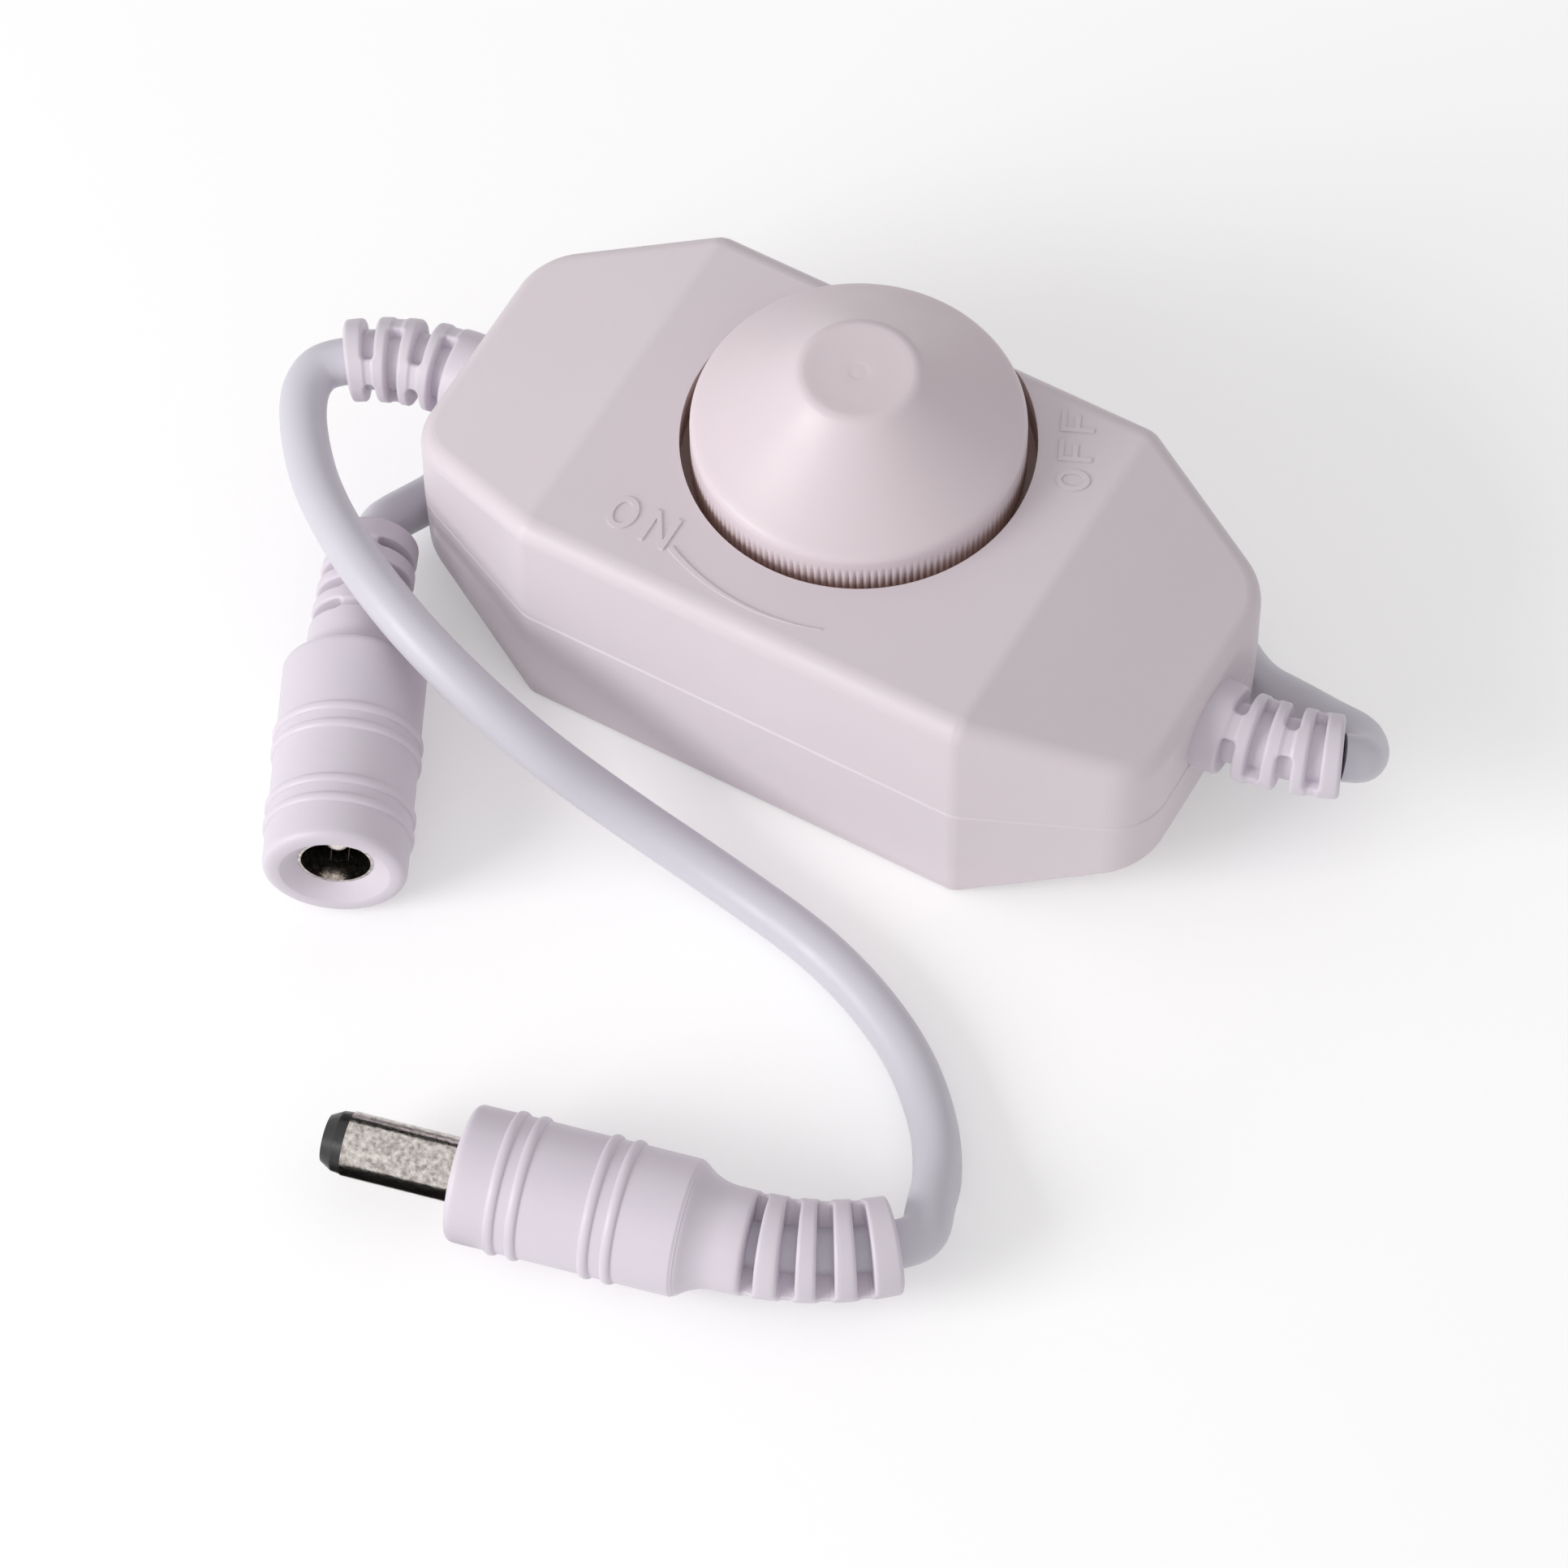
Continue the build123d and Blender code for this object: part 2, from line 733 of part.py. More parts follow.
# Can: pressed cup over the rotor, with an inward stop at the front
with BuildPart() as pot_can:
    with BuildSketch(pot_plane(can_bottom)):
        Circle(can_radius)
    extrude(amount=can_height)
    with BuildSketch(pot_plane(can_bottom)):
        Circle(can_radius - can_sheet)
    extrude(amount=can_height - can_sheet, mode=Mode.SUBTRACT)
    with BuildSketch(pot_plane(can_bottom)):
        Circle(bushing_radius + bushing_clearance)
    extrude(amount=can_height, mode=Mode.SUBTRACT)
    with BuildSketch(pot_plane(rotor_bottom)):
        with BuildLine():
            stop_arc = CenterArc((0, 0), can_radius - can_sheet / 2, 270 - stop_angle / 2, stop_angle)
            Line((0, 0), stop_arc @ 0)
            Line((0, 0), stop_arc @ 1)
        make_face()
        Circle(can_radius - can_sheet - stop_depth, mode=Mode.SUBTRACT)
    extrude(amount=rotor_thickness)
    with BuildSketch(pot_plane(can_bottom)):
        with Locations((0, -can_radius)):
            Rectangle(wafer_tongue_width + 2 * bushing_clearance, can_radius)
    extrude(amount=wafer_thickness + bushing_clearance, mode=Mode.SUBTRACT)
pot_can.part.label = "pot_can"
export_step(pot_can.part, "parts/pot_can.step")

# Bushing: threaded collar that carries the shaft through the well floor
with BuildPart() as pot_bushing:
    with BuildSketch(pot_plane(well_underside - can_sheet)):
        Circle(bushing_radius)
    extrude(amount=bushing_top - well_underside + can_sheet)
    chamfer(pot_bushing.edges().group_by(Axis.Z)[-1], well_edge)
    with BuildSketch(pot_plane(well_underside - can_sheet)):
        Circle(shaft_radius + shaft_clearance)
    extrude(amount=bushing_top - well_underside + can_sheet, mode=Mode.SUBTRACT)
pot_bushing.part.label = "pot_bushing"
export_step(pot_bushing.part, "parts/pot_bushing.step")

# Washer and hexagon nut in the well, under the knob
with BuildPart() as pot_washer:
    with BuildSketch(pot_plane(well_floor_height)):
        Circle(washer_radius)
        Circle(bushing_radius + bushing_clearance, mode=Mode.SUBTRACT)
    extrude(amount=washer_thickness)
pot_washer.part.label = "pot_washer"
export_step(pot_washer.part, "parts/pot_washer.step")

with BuildPart() as pot_nut:
    with BuildSketch(pot_plane(well_floor_height + washer_thickness)):
        RegularPolygon(nut_across_flats / 2, 6, major_radius=False)
        Circle(bushing_radius + thread_clearance, mode=Mode.SUBTRACT)
    extrude(amount=nut_thickness)
pot_nut.part.label = "pot_nut"
export_step(pot_nut.part, "parts/pot_nut.step")

# Wafer: phenolic plate that closes the can and carries the terminals on its tongue
with BuildPart() as pot_wafer:
    with BuildSketch(pot_plane(can_bottom)):
        Circle(can_radius - can_sheet - insert_clearance)
        with Locations((0, -wafer_tongue_reach / 2)):
            Rectangle(wafer_tongue_width, wafer_tongue_reach)
    extrude(amount=wafer_thickness)
    with BuildSketch(pot_plane(can_bottom)):
        with Locations((0, terminal_width - wafer_tongue_reach)):
            with GridLocations(terminal_pitch, 0, 3, 1):
                Rectangle(terminal_width + lead_hole_clearance, terminal_sheet + lead_hole_clearance)
    extrude(amount=wafer_thickness, mode=Mode.SUBTRACT)
pot_wafer.part.label = "pot_wafer"
export_step(pot_wafer.part, "parts/pot_wafer.step")

# Resistance track: printed horseshoe on the wafer, open towards the terminals
with BuildPart() as resistance_track:
    with BuildSketch(pot_plane(wafer_top)):
        with BuildLine():
            track_start = 270 + track_gap_angle / 2
            outer = CenterArc((0, 0), track_outer_radius, track_start, 360 - track_gap_angle)
            inner = CenterArc((0, 0), track_inner_radius, track_start, 360 - track_gap_angle)
            Line(outer @ 0, inner @ 0)
            Line(outer @ 1, inner @ 1)
        make_face()
    extrude(amount=track_thickness)
resistance_track.part.label = "resistance_track"
export_step(resistance_track.part, "parts/resistance_track.step")

# Terminals: three strips from the wafer's tongue down through the circuit board
terminal_plane_y = knob_offset + terminal_width - wafer_tongue_reach
with BuildPart() as pot_terminals:
    with BuildSketch(Plane.XY.offset(board_height - pin_stub)):
        with Locations((knob_aside, terminal_plane_y)):
            with GridLocations(terminal_pitch, 0, 3, 1):
                Rectangle(terminal_width, terminal_sheet)
    extrude(amount=wafer_top - board_height + pin_stub)
    with BuildSketch(Plane.XY.offset(wafer_top)):
        with Locations((knob_aside, terminal_plane_y)):
            with GridLocations(terminal_pitch, 0, 3, 1):
                Rectangle(2 * terminal_width, terminal_width)
    extrude(amount=terminal_sheet)
pot_terminals.part.label = "pot_terminals"
export_step(pot_terminals.part, "parts/pot_terminals.step")

# Circuit board with its drilled holes
wire_hole = lead_wire_radius + lead_hole_clearance
capacitor_pins = [(capacitor_x - capacitor_pitch / 2, capacitor_y), (capacitor_x + capacitor_pitch / 2, capacitor_y)]
diode_pins = [(diode_x - axial_span / 2, diode_y), (diode_x + axial_span / 2, diode_y)]
resistor_rows = [resistor_y + row * resistor_pitch for row in range(-1, 2)]
resistor_pins = [(resistor_x + side * axial_span / 2, row) for row in resistor_rows for side in (-1, 1)]
with BuildPart() as circuit_board:
    with BuildSketch(Plane.XY.offset(board_height)):
        Rectangle(board_length, board_width)
        with GridLocations(2 * board_post_x, 2 * board_post_y, 2, 2):
            Circle(board_screw_radius + lead_hole_clearance, mode=Mode.SUBTRACT)
        with Locations(*capacitor_pins, *diode_pins, *resistor_pins):
            Circle(wire_hole, mode=Mode.SUBTRACT)
        with Locations((knob_aside, terminal_plane_y)):
            with GridLocations(terminal_pitch, 0, 3, 1):
                Rectangle(
                    terminal_width + lead_hole_clearance,
                    terminal_sheet + lead_hole_clearance,
                    mode=Mode.SUBTRACT,
                )
    extrude(amount=board_thickness)
circuit_board.part.label = "circuit_board"
export_step(circuit_board.part, "parts/circuit_board.step")

# Board screws: four small pan heads into the posts
with BuildPart() as board_screws:
    with BuildSketch(Plane.XY.offset(board_top)):
        with GridLocations(2 * board_post_x, 2 * board_post_y, 2, 2):
            Circle(board_screw_head_radius)
    extrude(amount=board_screw_head_height)
    with BuildSketch(Plane.XY.offset(board_top)):
        with GridLocations(2 * board_post_x, 2 * board_post_y, 2, 2):
            Circle(board_screw_radius)
    extrude(amount=-board_screw_length)
board_screws.part.label = "board_screws"
export_step(board_screws.part, "parts/board_screws.step")

# Electrolytic capacitor with its two wire pins
with BuildPart() as capacitor:
    with BuildSketch(Plane.XY.offset(board_top)):
        with Locations((capacitor_x, capacitor_y)):
            Circle(capacitor_radius)
    extrude(amount=capacitor_height)
    chamfer(capacitor.edges().group_by(Axis.Z)[-1], capacitor_edge)
    with BuildSketch(Plane.XY.offset(board_top)):
        with Locations(*capacitor_pins):
            Circle(lead_wire_radius)
    extrude(amount=-board_thickness - pin_stub)
capacitor.part.label = "capacitor"
export_step(capacitor.part, "parts/capacitor.step")

# Power transistor: flat moulded body on a metal tab that is soldered to the board
with BuildPart() as transistor_tab:
    with BuildSketch(Plane.XY.offset(board_top)):
        with Locations((transistor_x, transistor_y + tab_reach / 2)):
            Rectangle(transistor_length - 2 * tab_inset, transistor_width + tab_reach)
    extrude(amount=tab_thickness)
transistor_tab.part.label = "transistor_tab"
export_step(transistor_tab.part, "parts/transistor_tab.step")

with BuildPart() as transistor_body:
    with BuildSketch(Plane.XY.offset(board_top + tab_thickness)):
        with Locations((transistor_x, transistor_y)):
            Rectangle(transistor_length, transistor_width)
    extrude(amount=transistor_height - tab_thickness, taper=transistor_draft)
transistor_body.part.label = "transistor_body"
export_step(transistor_body.part, "parts/transistor_body.step")

# Timer chip: moulded body with four bent pins on each long side
with BuildPart() as timer_chip:
    with BuildSketch(Plane.XY.offset(board_top + chip_lift)):
        with Locations((chip_x, chip_y)):
            Rectangle(chip_length, chip_width)
    extrude(amount=chip_height)
    with BuildSketch(Plane.XY.offset(board_top)):
        with Locations((chip_x, chip_y)):
            with GridLocations(chip_pin_pitch, chip_width + chip_pin_width, 4, 2):
                Rectangle(chip_pin_width, chip_pin_width)
    extrude(amount=chip_lift + chip_height / 2)
timer_chip.part.label = "timer_chip"
export_step(timer_chip.part, "parts/timer_chip.step")


def axial_part(centre_x, centre_y, radius, length):
    """Round component lying on the board, with a bent wire at each end."""
    centre_height = board_top + axial_lift + radius
    with BuildPart() as piece:
        with BuildSketch(Plane(origin=(centre_x, centre_y, centre_height), z_dir=(1, 0, 0))):
            Circle(radius)
        extrude(amount=length / 2, both=True)
        with BuildSketch(Plane(origin=(centre_x, centre_y, centre_height), z_dir=(1, 0, 0))):
            Circle(lead_wire_radius)
        extrude(amount=axial_span / 2, both=True)
        with BuildSketch(Plane.XY.offset(board_height - pin_stub)):
            with Locations((centre_x, centre_y)):
                with GridLocations(axial_span, 0, 2, 1):
                    Circle(lead_wire_radius)
        extrude(amount=centre_height - board_height + pin_stub)
    return piece.part


diode = axial_part(diode_x, diode_y, diode_radius, diode_length)
diode.label = "diode"
export_step(diode, "parts/diode.step")

with BuildPart() as resistors:
    for row in resistor_rows:
        add(axial_part(resistor_x, row, resistor_radius, resistor_length))
resistors.part.label = "resistors"
export_step(resistors.part, "parts/resistors.step")

# Solder joints where the cord's cores meet the board
with BuildPart() as solder_joints:
    for side in (-1, 1):
        for row in (-1, 1):
            with BuildSketch(Plane.XY.offset(board_top)):
                with Locations((side * core_pad_x, row * core_pad_y)):
                    Circle(core_joint_radius)
            extrude(amount=core_joint_height, taper=core_joint_slope)
solder_joints.part.label = "solder_joints"
export_step(solder_joints.part, "parts/solder_joints.step")

# Glands: each has a flange inside the end wall, a neck through it and rings along the bent cord
gland_ends = {}
for name, side, turn, lean, bridge_angle in (
    ("left", -1, gland_turn_left, Vector(0, -0.98, -0.199), gland_bridge_left),
    ("right", 1, gland_turn_right, Vector(0, 1, 0), gland_bridge_right),
):
    lean = lean.normalized()
    heading = Vector(side, 0, 0)
    mouth = Vector(side * half_length, 0, gland_height)

    def place(distance, start=mouth, heading=heading, lean=lean, turn=turn):
        """Plane square to the gland's axis at a distance outside the end wall."""
        return axis_plane(start, heading, lean, turn, gland_length, distance)

    inner_end = mouth - heading * (wall + gland_flange_thickness + cord_tail)
    with BuildPart() as inner_gland:
        with BuildSketch(Plane(origin=mouth - heading * wall, z_dir=heading)):
            Circle(gland_flange_radius)
        extrude(amount=-gland_flange_thickness)
        with BuildSketch(Plane(origin=mouth - heading * wall, z_dir=heading)):
            Circle(gland_neck_radius)
        extrude(amount=wall)
    with BuildPart() as gland:
        add(inner_gland.part)
        add(
            bent_relief(
                place,
                gland_rings,
                gland_gaps,
                gland_base_radius,
                gland_tip_radius,
                gland_bridge,
                bridge_angle,
                gland_bridge_step,
            )
        )
        with BuildLine():
            Line(inner_end, mouth)
            ThreePointArc(mouth, place(gland_length / 2).origin, place(gland_length).origin)
        with BuildSketch(Plane(origin=inner_end, z_dir=heading)):
            Circle(cord_radius + cord_seat)
        sweep(mode=Mode.SUBTRACT)
    gland.part.label = name + "_gland"
    export_step(gland.part, "parts/" + name + "_gland.step")

    with BuildPart() as inlet:
        with BuildLine():
            Line(inner_end, mouth)
            ThreePointArc(mouth, place(gland_length / 2).origin, place(gland_length).origin)
        with BuildSketch(Plane(origin=inner_end, z_dir=heading)):
            Circle(cord_radius)
        sweep()
    inlet.part.label = name + "_cord_inlet"
    export_step(inlet.part, "parts/" + name + "_cord_inlet.step")
    gland_ends[name] = place(gland_length)

    # Cores: a red and a black one from the cord's inner end down to the board
    for row, colour in ((1, "red"), (-1, "black")):
        start = inner_end + Vector(0, row * core_spacing, 0)
        pad = Vector(side * core_pad_x, row * core_pad_y, core_end_height)
        points = [
            start,
            start - heading * core_lead,
            Vector(
                side * (core_pad_x + core_bend_reach),
                row * (core_pad_y - core_bend_inset),
                (gland_height + core_end_height) / 2 + core_bend_rise,
            ),
            pad + Vector(0, 0, core_drop),
            pad,
        ]
        with BuildPart() as core:
            with BuildLine():
                FilletPolyline(*points, radius=run_radii(points))
            with BuildSketch(Plane(origin=start, z_dir=-heading)):
                Circle(core_radius)
            sweep()
        core.part.label = name + "_" + colour + "_core"
        export_step(core.part, "parts/" + core.part.label + ".step")


def connector_body(face, way, radius, body_length, taper_length, neck_length, ridges):
    """Moulded grip: a cylinder with raised rings that sweeps in to the neck of its strain relief."""
    across = Vector(0, 0, 1).cross(way)
    drop = radius - relief_neck_radius
    sweep_radius = (taper_length**2 + drop**2) / (2 * drop)
    half_sweep = math.asin(taper_length / sweep_radius) / 2
    sweep_middle = (
        body_length + taper_length - sweep_radius * math.sin(half_sweep),
        relief_neck_radius + sweep_radius * (1 - math.cos(half_sweep)),
    )
    with BuildPart() as grip:
        with BuildSketch(Plane(origin=face, x_dir=way, z_dir=across)) as section:
            with BuildLine():
                Polyline((0, 0), (0, radius), (body_length, radius))
                ThreePointArc(
                    (body_length, radius),
                    sweep_middle,
                    (body_length + taper_length, relief_neck_radius),
                )
                Polyline(
                    (body_length + taper_length, relief_neck_radius),
                    (body_length + taper_length + neck_length, relief_neck_radius),
                    (body_length + taper_length + neck_length, 0),
                    (0, 0),
                )
            make_face()
            fillet(section.vertices().sort_by_distance(face + Vector(0, 0, radius))[0], face_edge_radius)
            with Locations(*[(distance, radius) for distance in ridges]):
                Ellipse(ridge_width / 2, ridge_height)
            with Locations((body_length / 2, -radius)):
                Rectangle(2 * body_length, 2 * radius, mode=Mode.SUBTRACT)
        revolve(axis=Axis(face, way))
    return grip.part


# Barrel plug: grip with strain relief, metal barrel with a wide root that the grip holds,
# insulating tip, inner contact and cord end
plug_angle = math.radians(plug_heading)
plug_way = Vector(math.cos(plug_angle), math.sin(plug_angle), 0)
plug_side = Vector(-math.sin(plug_angle), math.cos(plug_angle), 0)
plug_neck = plug_face + plug_way * (plug_body_length + plug_taper_length + plug_neck_length)


def plug_place(distance):
    """Plane square to the plug's strain relief at a distance past the neck."""
    return axis_plane(plug_neck, plug_way, plug_side, plug_turn, plug_relief_length, distance)


plug_bend = [plug_neck, plug_place(plug_relief_length / 2).origin, plug_place(plug_relief_length).origin]
plug_cord_start = plug_face + plug_way * (plug_body_length - cord_tail)
with BuildPart() as plug_overmould:
    add(
        connector_body(
            plug_face,
            plug_way,
            plug_radius,
            plug_body_length,
            plug_taper_length,
            plug_neck_length,
            plug_ridges,
        )
    )
    add(
        bent_relief(
            plug_place,
            plug_relief_rings,
            plug_relief_gaps,
            relief_neck_radius,
            plug_relief_tip_radius,
            relief_bridge,
            plug_bridge_angle,
            0,
        )
    )
    with BuildLine():
        Line(plug_cord_start, plug_neck)
        ThreePointArc(*plug_bend)
    with BuildSketch(Plane(origin=plug_cord_start, z_dir=plug_way)):
        Circle(cord_radius + cord_seat)
    sweep(mode=Mode.SUBTRACT)
    with BuildSketch(Plane(origin=plug_face, z_dir=plug_way)):
        Circle(barrel_root_radius + insert_clearance)
    extrude(amount=barrel_depth, mode=Mode.SUBTRACT)
plug_overmould.part.label = "plug_overmould"
export_step(plug_overmould.part, "parts/plug_overmould.step")

with BuildPart() as plug_cord_inlet:
    with BuildLine():
        Line(plug_cord_start, plug_neck)
        ThreePointArc(*plug_bend)
    with BuildSketch(Plane(origin=plug_cord_start, z_dir=plug_way)):
        Circle(cord_radius)
    sweep()
plug_cord_inlet.part.label = "plug_cord_inlet"
export_step(plug_cord_inlet.part, "parts/plug_cord_inlet.step")

barrel_plane = Plane(origin=plug_face + plug_way * barrel_depth, z_dir=-plug_way)
with BuildPart() as plug_barrel:
    with BuildSketch(barrel_plane):
        Circle(barrel_root_radius)
    extrude(amount=barrel_depth)
    with BuildSketch(barrel_plane):
        Circle(barrel_radius)
    extrude(amount=barrel_depth + barrel_length)
    with BuildSketch(barrel_plane):
        Circle(barrel_radius - barrel_sheet)
    extrude(amount=barrel_depth + barrel_length, mode=Mode.SUBTRACT)
plug_barrel.part.label = "plug_barrel"
export_step(plug_barrel.part, "parts/plug_barrel.step")

with BuildPart() as plug_insulator:
    with BuildSketch(barrel_plane):
        Circle(barrel_radius - barrel_sheet - insert_clearance)
    extrude(amount=barrel_depth + barrel_length)
    for distance, radius in (
        (barrel_length, barrel_radius - tip_step),
        (barrel_length + tip_length - tip_chamfer_length, barrel_radius - 2 * tip_step),
        (barrel_length + tip_length, tip_end_radius),
    ):
        with BuildSketch(Plane(origin=plug_face - plug_way * distance, z_dir=-plug_way)):
            Circle(radius)
    loft(ruled=True)
    with BuildSketch(barrel_plane):
        Circle(plug_bore_radius + contact_wall + insert_clearance)
    extrude(amount=barrel_depth + barrel_length, mode=Mode.SUBTRACT)
    with BuildSketch(Plane(origin=plug_face - plug_way * barrel_length, z_dir=-plug_way)):
        Circle(plug_bore_radius)
    extrude(amount=tip_length, mode=Mode.SUBTRACT)
plug_insulator.part.label = "plug_insulator"
export_step(plug_insulator.part, "parts/plug_insulator.step")

with BuildPart() as plug_contact:
    with BuildSketch(barrel_plane):
        Circle(plug_bore_radius + contact_wall)
        Circle(plug_bore_radius, mode=Mode.SUBTRACT)
    extrude(amount=barrel_depth + barrel_length)
plug_contact.part.label = "plug_contact"
export_step(plug_contact.part, "parts/plug_contact.step")

# Barrel jack: grip with strain relief, contact sleeve, insulating base, centre pin and side spring
jack_angle = math.radians(jack_heading)
jack_way = Vector(math.cos(jack_angle), math.sin(jack_angle), 0)
jack_neck = jack_face + jack_way * (jack_body_length + jack_taper_length + jack_neck_length)
jack_lean = (jack_way.cross(Vector(0, 0, 1)) * 0.75 - Vector(0, 0, 0.66)).normalized()


def jack_place(distance):
    """Plane square to the jack's strain relief at a distance past the neck."""
    return axis_plane(jack_neck, jack_way, jack_lean, jack_turn, jack_relief_length, distance)


jack_bend = [jack_neck, jack_place(jack_relief_length / 2).origin, jack_place(jack_relief_length).origin]
jack_cord_start = jack_face + jack_way * (jack_body_length - cord_tail)
socket_plane = Plane(origin=jack_face + jack_way * mouth_depth, z_dir=jack_way)
with BuildPart() as jack_overmould:
    add(
        connector_body(
            jack_face,
            jack_way,
            jack_radius,
            jack_body_length,
            jack_taper_length,
            jack_neck_length,
            jack_ridges,
        )
    )
    add(
        bent_relief(
            jack_place,
            jack_relief_rings,
            jack_relief_gaps,
            relief_neck_radius,
            jack_relief_tip_radius,
            relief_bridge,
            jack_bridge_angle,
            0,
        )
    )
    with BuildLine():
        Line(jack_cord_start, jack_neck)
        ThreePointArc(*jack_bend)
    with BuildSketch(Plane(origin=jack_cord_start, z_dir=jack_way)):
        Circle(cord_radius + cord_seat)
    sweep(mode=Mode.SUBTRACT)
    with BuildSketch(socket_plane):
        Circle(socket_radius + insert_clearance)
    extrude(amount=socket_depth + socket_floor_thickness, mode=Mode.SUBTRACT)
    with BuildSketch(Plane(origin=jack_face, z_dir=jack_way)):
        Circle(mouth_radius)
    with BuildSketch(socket_plane):
        Circle(socket_radius + insert_clearance)
    loft(ruled=True, mode=Mode.SUBTRACT)
jack_overmould.part.label = "jack_overmould"
export_step(jack_overmould.part, "parts/jack_overmould.step")

with BuildPart() as jack_cord_inlet:
    with BuildLine():
        Line(jack_cord_start, jack_neck)
        ThreePointArc(*jack_bend)
    with BuildSketch(Plane(origin=jack_cord_start, z_dir=jack_way)):
        Circle(cord_radius)
    sweep()
jack_cord_inlet.part.label = "jack_cord_inlet"
export_step(jack_cord_inlet.part, "parts/jack_cord_inlet.step")

spring_plane = Plane(
    origin=jack_face + jack_way * (spring_start + spring_length / 2),
    x_dir=jack_way,
    z_dir=(0, 0, 1),
).offset(-socket_radius)
with BuildPart() as jack_sleeve:
    with BuildSketch(socket_plane):
        Circle(socket_radius)
        Circle(socket_radius - socket_sheet, mode=Mode.SUBTRACT)
    extrude(amount=socket_depth)
    with BuildSketch(spring_plane):
        Rectangle(spring_length + 2 * spring_clearance, spring_width + 2 * spring_clearance)
    extrude(amount=socket_radius / 2, mode=Mode.SUBTRACT)
jack_sleeve.part.label = "jack_sleeve"
export_step(jack_sleeve.part, "parts/jack_sleeve.step")

with BuildPart() as jack_spring:
    with BuildSketch(spring_plane.offset(spring_clearance)):
        Rectangle(spring_length, spring_width)
    extrude(amount=spring_sheet)
jack_spring.part.label = "jack_spring"
export_step(jack_spring.part, "parts/jack_spring.step")

with BuildPart() as jack_insulator:
    with BuildSketch(socket_plane.offset(socket_depth)):
        Circle(socket_radius)
        Circle(jack_pin_radius + insert_clearance, mode=Mode.SUBTRACT)
    extrude(amount=socket_floor_thickness)
jack_insulator.part.label = "jack_insulator"
export_step(jack_insulator.part, "parts/jack_insulator.step")

with BuildPart() as jack_pin:
    with BuildSketch(Plane(origin=jack_face + jack_way * jack_pin_recess, z_dir=jack_way)):
        Circle(jack_pin_radius)
    extrude(amount=mouth_depth + socket_depth + socket_floor_thickness - jack_pin_recess)
    tip_edge = jack_pin.edges().filter_by(GeomType.CIRCLE).sort_by_distance(jack_face)[0]
    fillet(tip_edge, jack_pin_tip_radius)
jack_pin.part.label = "jack_pin"
export_step(jack_pin.part, "parts/jack_pin.step")

# Free cords. Each leaves its gland straight, lies on the floor and enters its connector straight.
left_exit = gland_ends["left"]
left_entry = plug_place(plug_relief_length)
left_points = [
    left_exit.origin,
    left_exit.origin + left_exit.z_dir * cord_exit_run,
    Vector(-48.9, -5.8, 13.7),
    Vector(-48.8, -7.9, 13.6),
    Vector(-46.4, -11.4, 13.8),
    Vector(-42.0, -16.0, 14.4),
    Vector(-34.5, -21.0, 15.0),
    Vector(-25.7, -25.2, 15.0),
    Vector(-15.4, -27.1, 11.0),
    Vector(-6.6, -26.3, 4.6),
    Vector(4.3, -26.7, 2.1),
    Vector(15.3, -28.8, 2.1),
    Vector(24.6, -33.1, 2.1),
    Vector(30.9, -38.5, 2.15),
    Vector(34.5, -43.9, 3.4),
    Vector(35.8, -47.6, 5.3),
    left_entry.origin + left_entry.z_dir * cord_entry_run + Vector(0.55, 1.55, -0.2),
    left_entry.origin + left_entry.z_dir * cord_entry_run,
    left_entry.origin,
]
left_cord = free_cord("left_cord", left_points)
left_cord.label = "left_cord"
export_step(left_cord, "parts/left_cord.step")

right_exit = gland_ends["right"]
right_entry = jack_place(jack_relief_length)
right_points = [
    right_exit.origin,
    right_exit.origin + right_exit.z_dir * cord_exit_run,
    Vector(50.1, 4.5, 13.9),
    Vector(50.5, 6.3, 12.6),
    Vector(49.8, 7.9, 11.1),
    Vector(46.0, 9.6, 8.1),
    Vector(40.6, 11.5, 4.4),
    Vector(34.0, 15.4, 2.2),
    Vector(25.0, 20.8, 2.1),
    Vector(11.0, 23.2, 2.1),
    Vector(-4.0, 23.0, 2.1),
    Vector(-15.0, 22.6, 2.1),
    Vector(-25.5, 20.4, 2.1),
    Vector(-32.7, 16.4, 2.1),
    Vector(-36.2, 11.2, 2.1),
    Vector(-36.9, 5.6, 2.1),
    Vector(-36.4, 0.4, 2.2),
    Vector(-36.7, -4.6, 2.8),
    Vector(-37.6, -8.1, 4.2),
    Vector(-38.15, -10.5, 5.3),
    right_entry.origin + right_entry.z_dir * cord_entry_run,
    right_entry.origin,
]
right_cord = free_cord("right_cord", right_points)
right_cord.label = "right_cord"
export_step(right_cord, "parts/right_cord.step")
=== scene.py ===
import math

import bpy
import numpy as np
from mathutils import Matrix, Quaternion, Vector


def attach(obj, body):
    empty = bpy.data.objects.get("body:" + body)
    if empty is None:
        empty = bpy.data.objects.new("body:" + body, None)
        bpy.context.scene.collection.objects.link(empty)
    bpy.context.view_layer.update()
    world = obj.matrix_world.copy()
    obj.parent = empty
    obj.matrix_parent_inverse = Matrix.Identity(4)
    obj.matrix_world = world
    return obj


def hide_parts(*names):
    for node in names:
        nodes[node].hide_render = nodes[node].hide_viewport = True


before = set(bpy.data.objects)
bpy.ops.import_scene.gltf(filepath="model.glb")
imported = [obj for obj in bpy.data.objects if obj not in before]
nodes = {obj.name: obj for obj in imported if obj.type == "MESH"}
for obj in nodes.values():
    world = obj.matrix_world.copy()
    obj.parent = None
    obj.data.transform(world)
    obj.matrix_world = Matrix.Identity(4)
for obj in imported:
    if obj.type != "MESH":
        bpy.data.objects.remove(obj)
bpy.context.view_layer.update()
mm = 0.001

